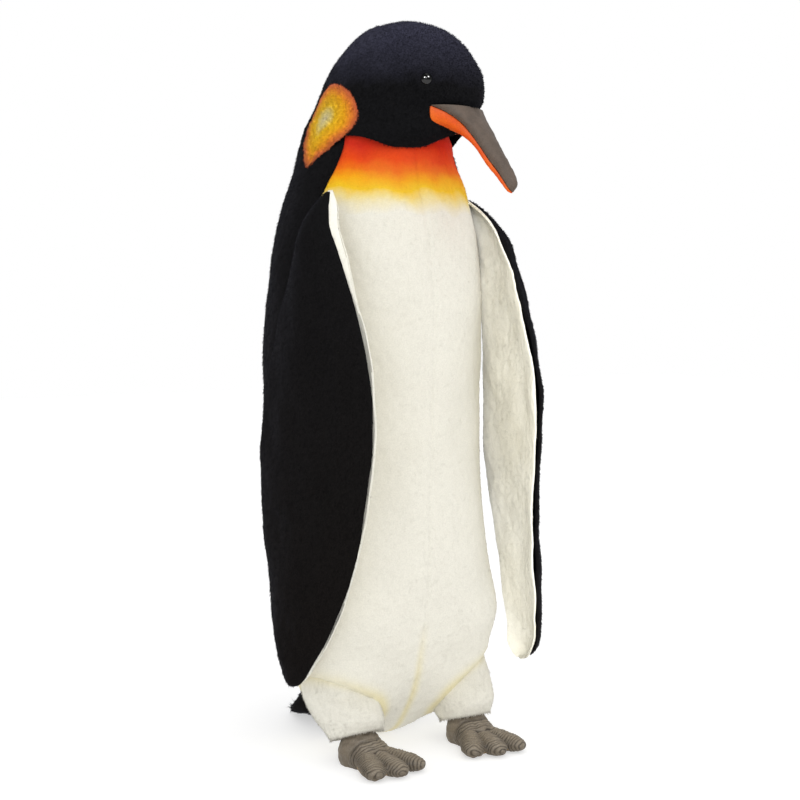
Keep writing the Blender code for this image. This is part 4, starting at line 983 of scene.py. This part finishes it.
def ellipsoid(centre, radii, steps=28):
    """Rows of points round a closed egg."""
    tilts = np.linspace(0.01, math.pi - 0.01, steps)
    turns = np.linspace(0, 2 * math.pi, 2 * steps, endpoint=False)
    tilt, around = np.meshgrid(tilts, turns, indexing="ij")
    ball = np.stack([np.sin(tilt) * np.cos(around), np.sin(tilt) * np.sin(around), np.cos(tilt)], -1)
    return ball * radii + centre


def foot_frame(points, side):
    angle = -side * TOE_IN
    cos, sin = math.cos(angle), math.sin(angle)
    turn = np.array(((cos, -sin, 0), (sin, cos, 0), (0, 0, 1)))
    return points @ turn.T + np.array((side * ANKLE[0], -ANKLE[1], 0)) + STAND


def capsule(start, end, width_start, width_end, low_start, low_end, rows=34, around=28):
    """A fat toe lying along a line: half widths and half heights at both ends, with a round tip."""
    start, end = np.array(start), np.array(end)
    along = unit(end - start)
    across = unit(np.cross(along, (0, 0, 1.0)))
    up = np.cross(across, along)
    share = np.linspace(0, 1, rows)
    tip = np.sqrt(np.clip(1 - np.clip((share - 0.74) / 0.26, 0, 1) ** 2, 0.002, 1))
    heel = np.sqrt(np.clip(1 - np.clip((0.2 - share) / 0.2, 0, 1) ** 2, 0.002, 1))
    wide = (width_start + (width_end - width_start) * np.sin(share * math.pi / 2)) * tip * heel
    tall = (low_start + (low_end - low_start) * share) * tip * heel
    turns = np.linspace(0, 2 * math.pi, around, endpoint=False)
    centre = start + (end - start) * share[:, None]
    return (
        centre[:, None] + across * (wide[:, None] * np.cos(turns))[..., None]
        + up * (tall[:, None] * np.sin(turns))[..., None]
    )


def build_foot(name, side):
    """Three fat stuffed toes and an instep, fused by a remesh and then pleated across."""
    points, faces, total = [], [], 0

    def add(grid):
        nonlocal total
        rows, columns = grid.shape[:2]
        points.append(grid.reshape(-1, 3))
        faces.extend((grid_quads(rows, columns, True) + total).tolist())
        faces.append(list(range(total, total + columns))[::-1])
        faces.append(list(range(total + (rows - 1) * columns, total + rows * columns)))
        total += rows * columns

    for angle, length in zip(TOE_ANGLES, TOE_LENGTHS):
        tip = length + TOE_RADIUS
        way = np.array((math.sin(angle), -math.cos(angle), 0))
        add(capsule(way * 0.004 + (0, 0, 0.0135), way * tip + (0, 0, 0.0082), 0.0128, 0.0148, 0.0135, 0.0086))
    add(ellipsoid((0, -0.004, 0.0115), (0.0280, 0.0270, 0.0300)))
    add(ellipsoid((0, -0.018, 0.0115), (0.0270, 0.0290, 0.0210)))
    mesh = bpy.data.meshes.new("foot_form_" + name)
    mesh.from_pydata(np.concatenate(points).tolist(), [], faces)
    form = bpy.data.objects.new("foot_form_" + name, mesh)
    bpy.context.scene.collection.objects.link(form)
    remesh = form.modifiers.new("fuse", "REMESH")
    remesh.mode = "VOXEL"
    remesh.voxel_size = 0.0011
    relax = form.modifiers.new("relax", "SMOOTH")
    relax.iterations = 3
    relax.factor = 0.5
    depsgraph = bpy.context.evaluated_depsgraph_get()
    fused = bpy.data.meshes.new_from_object(form.evaluated_get(depsgraph))
    bpy.data.objects.remove(form, do_unlink=True)
    verts = np.empty(len(fused.vertices) * 3)
    fused.vertices.foreach_get("co", verts)
    verts = verts.reshape(-1, 3)
    normals = np.empty(len(fused.vertices) * 3)
    fused.vertices.foreach_get("normal", normals)
    normals = normals.reshape(-1, 3)
    bearing = np.arctan2(verts[:, 0], -verts[:, 1])
    reach = np.hypot(verts[:, 0], verts[:, 1])
    nearest = np.array(TOE_ANGLES)[np.abs(bearing[:, None] - np.array(TOE_ANGLES)).argmin(axis=1)]
    along = reach * np.cos(bearing - nearest)
    across = reach * np.sin(bearing - nearest)
    up = np.clip(normals[:, 2], 0, 1)
    toes = np.clip((along - 0.020) / 0.012, 0, 1) * (np.abs(bearing) < 1.1)
    wobble = waves(verts, 0.014, 81 + side) * 1.1 + across * 60 * (np.abs(across) / TOE_RADIUS)
    pleats = np.cos(along * 2 * math.pi / 0.0037 + wobble)
    offset = toes * (0.0007 * np.minimum(pleats, 0.4)) + 0.0003 * waves(verts, 0.010, 82)
    seam = dip(along - 0.0265 - 0.0012 * np.cos(bearing * 6), 0.0014) * (np.abs(bearing) < 1.3) * up
    offset -= 0.0011 * seam
    verts = verts + normals * offset[:, None]
    verts[:, 2] = np.maximum(verts[:, 2], FLOOR_GAP)
    # Painted light and shade for the suede: lighter where the surface faces up, darker in the pleat lines and
    # the grooves between the toes, and darker along the seam
    groove = np.clip(np.abs(across) / TOE_RADIUS, 0, 1) ** 2 * toes
    lines = np.clip(-pleats - 0.1, 0, 1) * toes
    crown = np.clip(0.38 + 0.55 * up - 0.75 * lines - 0.7 * groove * up - 0.6 * seam, 0, 1)
    polygons = [list(p.vertices) for p in fused.polygons]
    bpy.data.meshes.remove(fused)
    tones = {"crown": crown, "strand": np.full(len(crown), 0.5)}
    made = mesh_object("foot_suede_" + name, foot_frame(verts, side), polygons, SUEDE, tones)
    finish_piece(made, "torso", ("foot_upper_" + name, "foot_sole_" + name))


def build_tail():
    places = np.linspace(0, 6.8, 70)
    forward, height, wide, deep = (smooth(TAIL_SECTIONS, places)[:, k, None] for k in range(4))
    turns = np.linspace(0, 2 * math.pi, 96, endpoint=False)[None, :]
    rise = deep * np.cos(turns)
    grid = np.stack(
        [
            wide * np.sin(turns), -forward + rise * math.sin(TAIL_SLOPE),
            np.maximum(height + rise * math.cos(TAIL_SLOPE), 0.0016),
        ], -1,
    )
    middle = np.stack([0 * forward, -forward, height], -1)
    normals = normals_of(grid, grid - middle, True)
    random = np.random.default_rng(90)
    low = np.clip((grid[..., 2] - 0.004) / 0.01, 0, 1)
    offset = low * (0.0008 + 0.0008 * waves(grid, 0.04, 91)) + low * random.normal(size=low.shape) * 0.0002
    grid = grid + normals * offset[..., None]
    plush_piece(
        "tail", "", "torso", "dark_plush", DARK, placed(grid), normals,
        ("tail_cover", "tail_stuffing", "tail_wire"), fill=0.6, count=13000, seed=92,
        length=0.0042 + 0.012 * np.clip((places[:, None] - 4.5) / 2, 0, 1) * np.ones(low.shape),
        thickness=0.0022, closed=True, lay=np.array((0, 0.8, -0.5)), width=0.0010, density=low + 0.02,
    )


# --- Studio -----------------------------------------------------------------------------------------
def eye_lights():
    """Two lamps, seen only in reflections, placed so that the right eye mirrors them."""
    place, normal = eye_place(SIDES["right"])
    eye, facing = head_placed(place), head_placed(normal) - STAND
    to_camera = unit(camera_place() - eye)
    beside = unit(np.cross(DOWN, to_camera))
    lamps = []
    reach, size, power = 2.4, 0.7, 50
    for name, across, above in (("glint_left", -0.20, 0.20), ("glint_right", 0.26, 0.10)):
        mirror = unit(facing + across * beside - above * DOWN)
        away = 2 * (mirror @ to_camera) * mirror - to_camera
        lamps.append((name, tuple(eye + reach * away), size, power))
    return lamps


def camera_place():
    away_x, away_y = math.sin(CAMERA_BEARING), math.cos(CAMERA_BEARING)
    return np.array((
        STAND[0] - CAMERA_DISTANCE * away_x,
        STAND[1] - SHOULDERS_FORWARD - CAMERA_DISTANCE * away_y,
        CAMERA_HEIGHT,
    ))


def build_studio():
    floor = bpy.data.meshes.new("floor")
    floor.from_pydata([(-6, -6, 0), (6, -6, 0), (6, 6, 0), (-6, 6, 0)], [], [(0, 1, 2, 3)])
    look = Look("floor_paper", 0.9, specular=0.1)
    look.colour(look.mix(look.spread(look.noise(3, 2), 0.3, 0.7), (0.56, 0.56, 0.56), (0.57, 0.57, 0.57)))
    look.shader.inputs["Emission Color"].default_value = (1, 1, 1, 1)
    look.shader.inputs["Emission Strength"].default_value = 0.52
    floor.materials.append(look.material)
    piece = bpy.data.objects.new("floor", floor)
    bpy.context.scene.collection.objects.link(piece)

    world = bpy.data.worlds.new("studio")
    bpy.context.scene.world = world
    world.use_nodes = True
    world.node_tree.nodes["Background"].inputs["Color"].default_value = (1, 1, 1, 1)
    # White all round for what is matt, and dim where it would be mirrored, as in a dark studio
    path = world.node_tree.nodes.new("ShaderNodeLightPath")
    dim = world.node_tree.nodes.new("ShaderNodeMapRange")
    dim.inputs["To Min"].default_value, dim.inputs["To Max"].default_value = 1.0, 0.12
    world.node_tree.links.new(path.outputs["Is Glossy Ray"], dim.inputs["Value"])
    world.node_tree.links.new(dim.outputs["Result"], world.node_tree.nodes["Background"].inputs["Strength"])
    bpy.context.scene.view_settings.view_transform = "Standard"

    for name, place, size, power in (
        ("key", (-1.2, -2.7, 1.7), 0.8, 11), ("lining", (-1.35, -2.6, 1.0), 1.0, 48),
        ("side", (-2.4, -1.9, 1.1), 1.6, 3), ("fill", (1.9, -1.5, 1.2), 1.6, 2),
        ("top", (0.1, -0.3, 2.6), 1.2, 4), *eye_lights(),
    ):
        light = bpy.data.lights.new(name, "AREA")
        light.size, light.energy = size, power
        lamp = bpy.data.objects.new(name, light)
        lamp.location = place
        aim = np.array((0, 0, 0.5)) - np.array(place)
        flat = math.hypot(aim[0], aim[1])
        lamp.rotation_euler = (math.atan2(flat, -aim[2]), 0, math.atan2(-aim[0], aim[1]))
        lamp.visible_camera = False
        lamp.visible_diffuse = not name.startswith("glint")
        if name == "lining":
            # This lamp reaches only the left flipper's lining, which the belly keeps in shade
            lit = bpy.data.collections.new("lit_by_lining")
            for part in ("flipper_lining_plush_left", "flipper_lining_pile_left"):
                lit.objects.link(bpy.data.objects[part])
            lamp.light_linking.receiver_collection = lit
        bpy.context.scene.collection.objects.link(lamp)


def build_camera():
    """At the photograph's angle: level, from the penguin's front right, framed by the lens shift."""
    camera = bpy.data.cameras.new("camera")
    camera.sensor_width = SENSOR
    camera.lens = FOCAL * SENSOR
    camera.shift_x, camera.shift_y = SHIFT_X, SHIFT_Y
    camera.clip_start = 0.05
    made = bpy.data.objects.new("camera", camera)
    made.location = camera_place()
    made.rotation_euler = (math.radians(90), 0, -CAMERA_BEARING)
    bpy.context.scene.collection.objects.link(made)
    bpy.context.scene.camera = made


def dress_nodes():
    """Gives every CAD node that stays a material of its own kind."""
    for name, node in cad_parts.items():
        kind = next((slot for word, slot in INSIDE_WORDS if word in name), None)
        if node.type != "MESH" or not kind:
            continue
        if not node.material_slots:
            node.data.materials.append(None)
        for slot in node.material_slots:
            slot.material = INSIDE[kind]


build_camera()
build_body()
build_head()
beak_half("beak_upper_suede", True, BEAK_GREY, "beak_upper")
beak_half("beak_lower_suede", False, BEAK_ORANGE, "beak_lower")
for label, sign in SIDES.items():
    build_flipper(label)
    build_leg(label, sign)
    build_foot(label, sign)
build_tail()
build_studio()
dress_nodes()
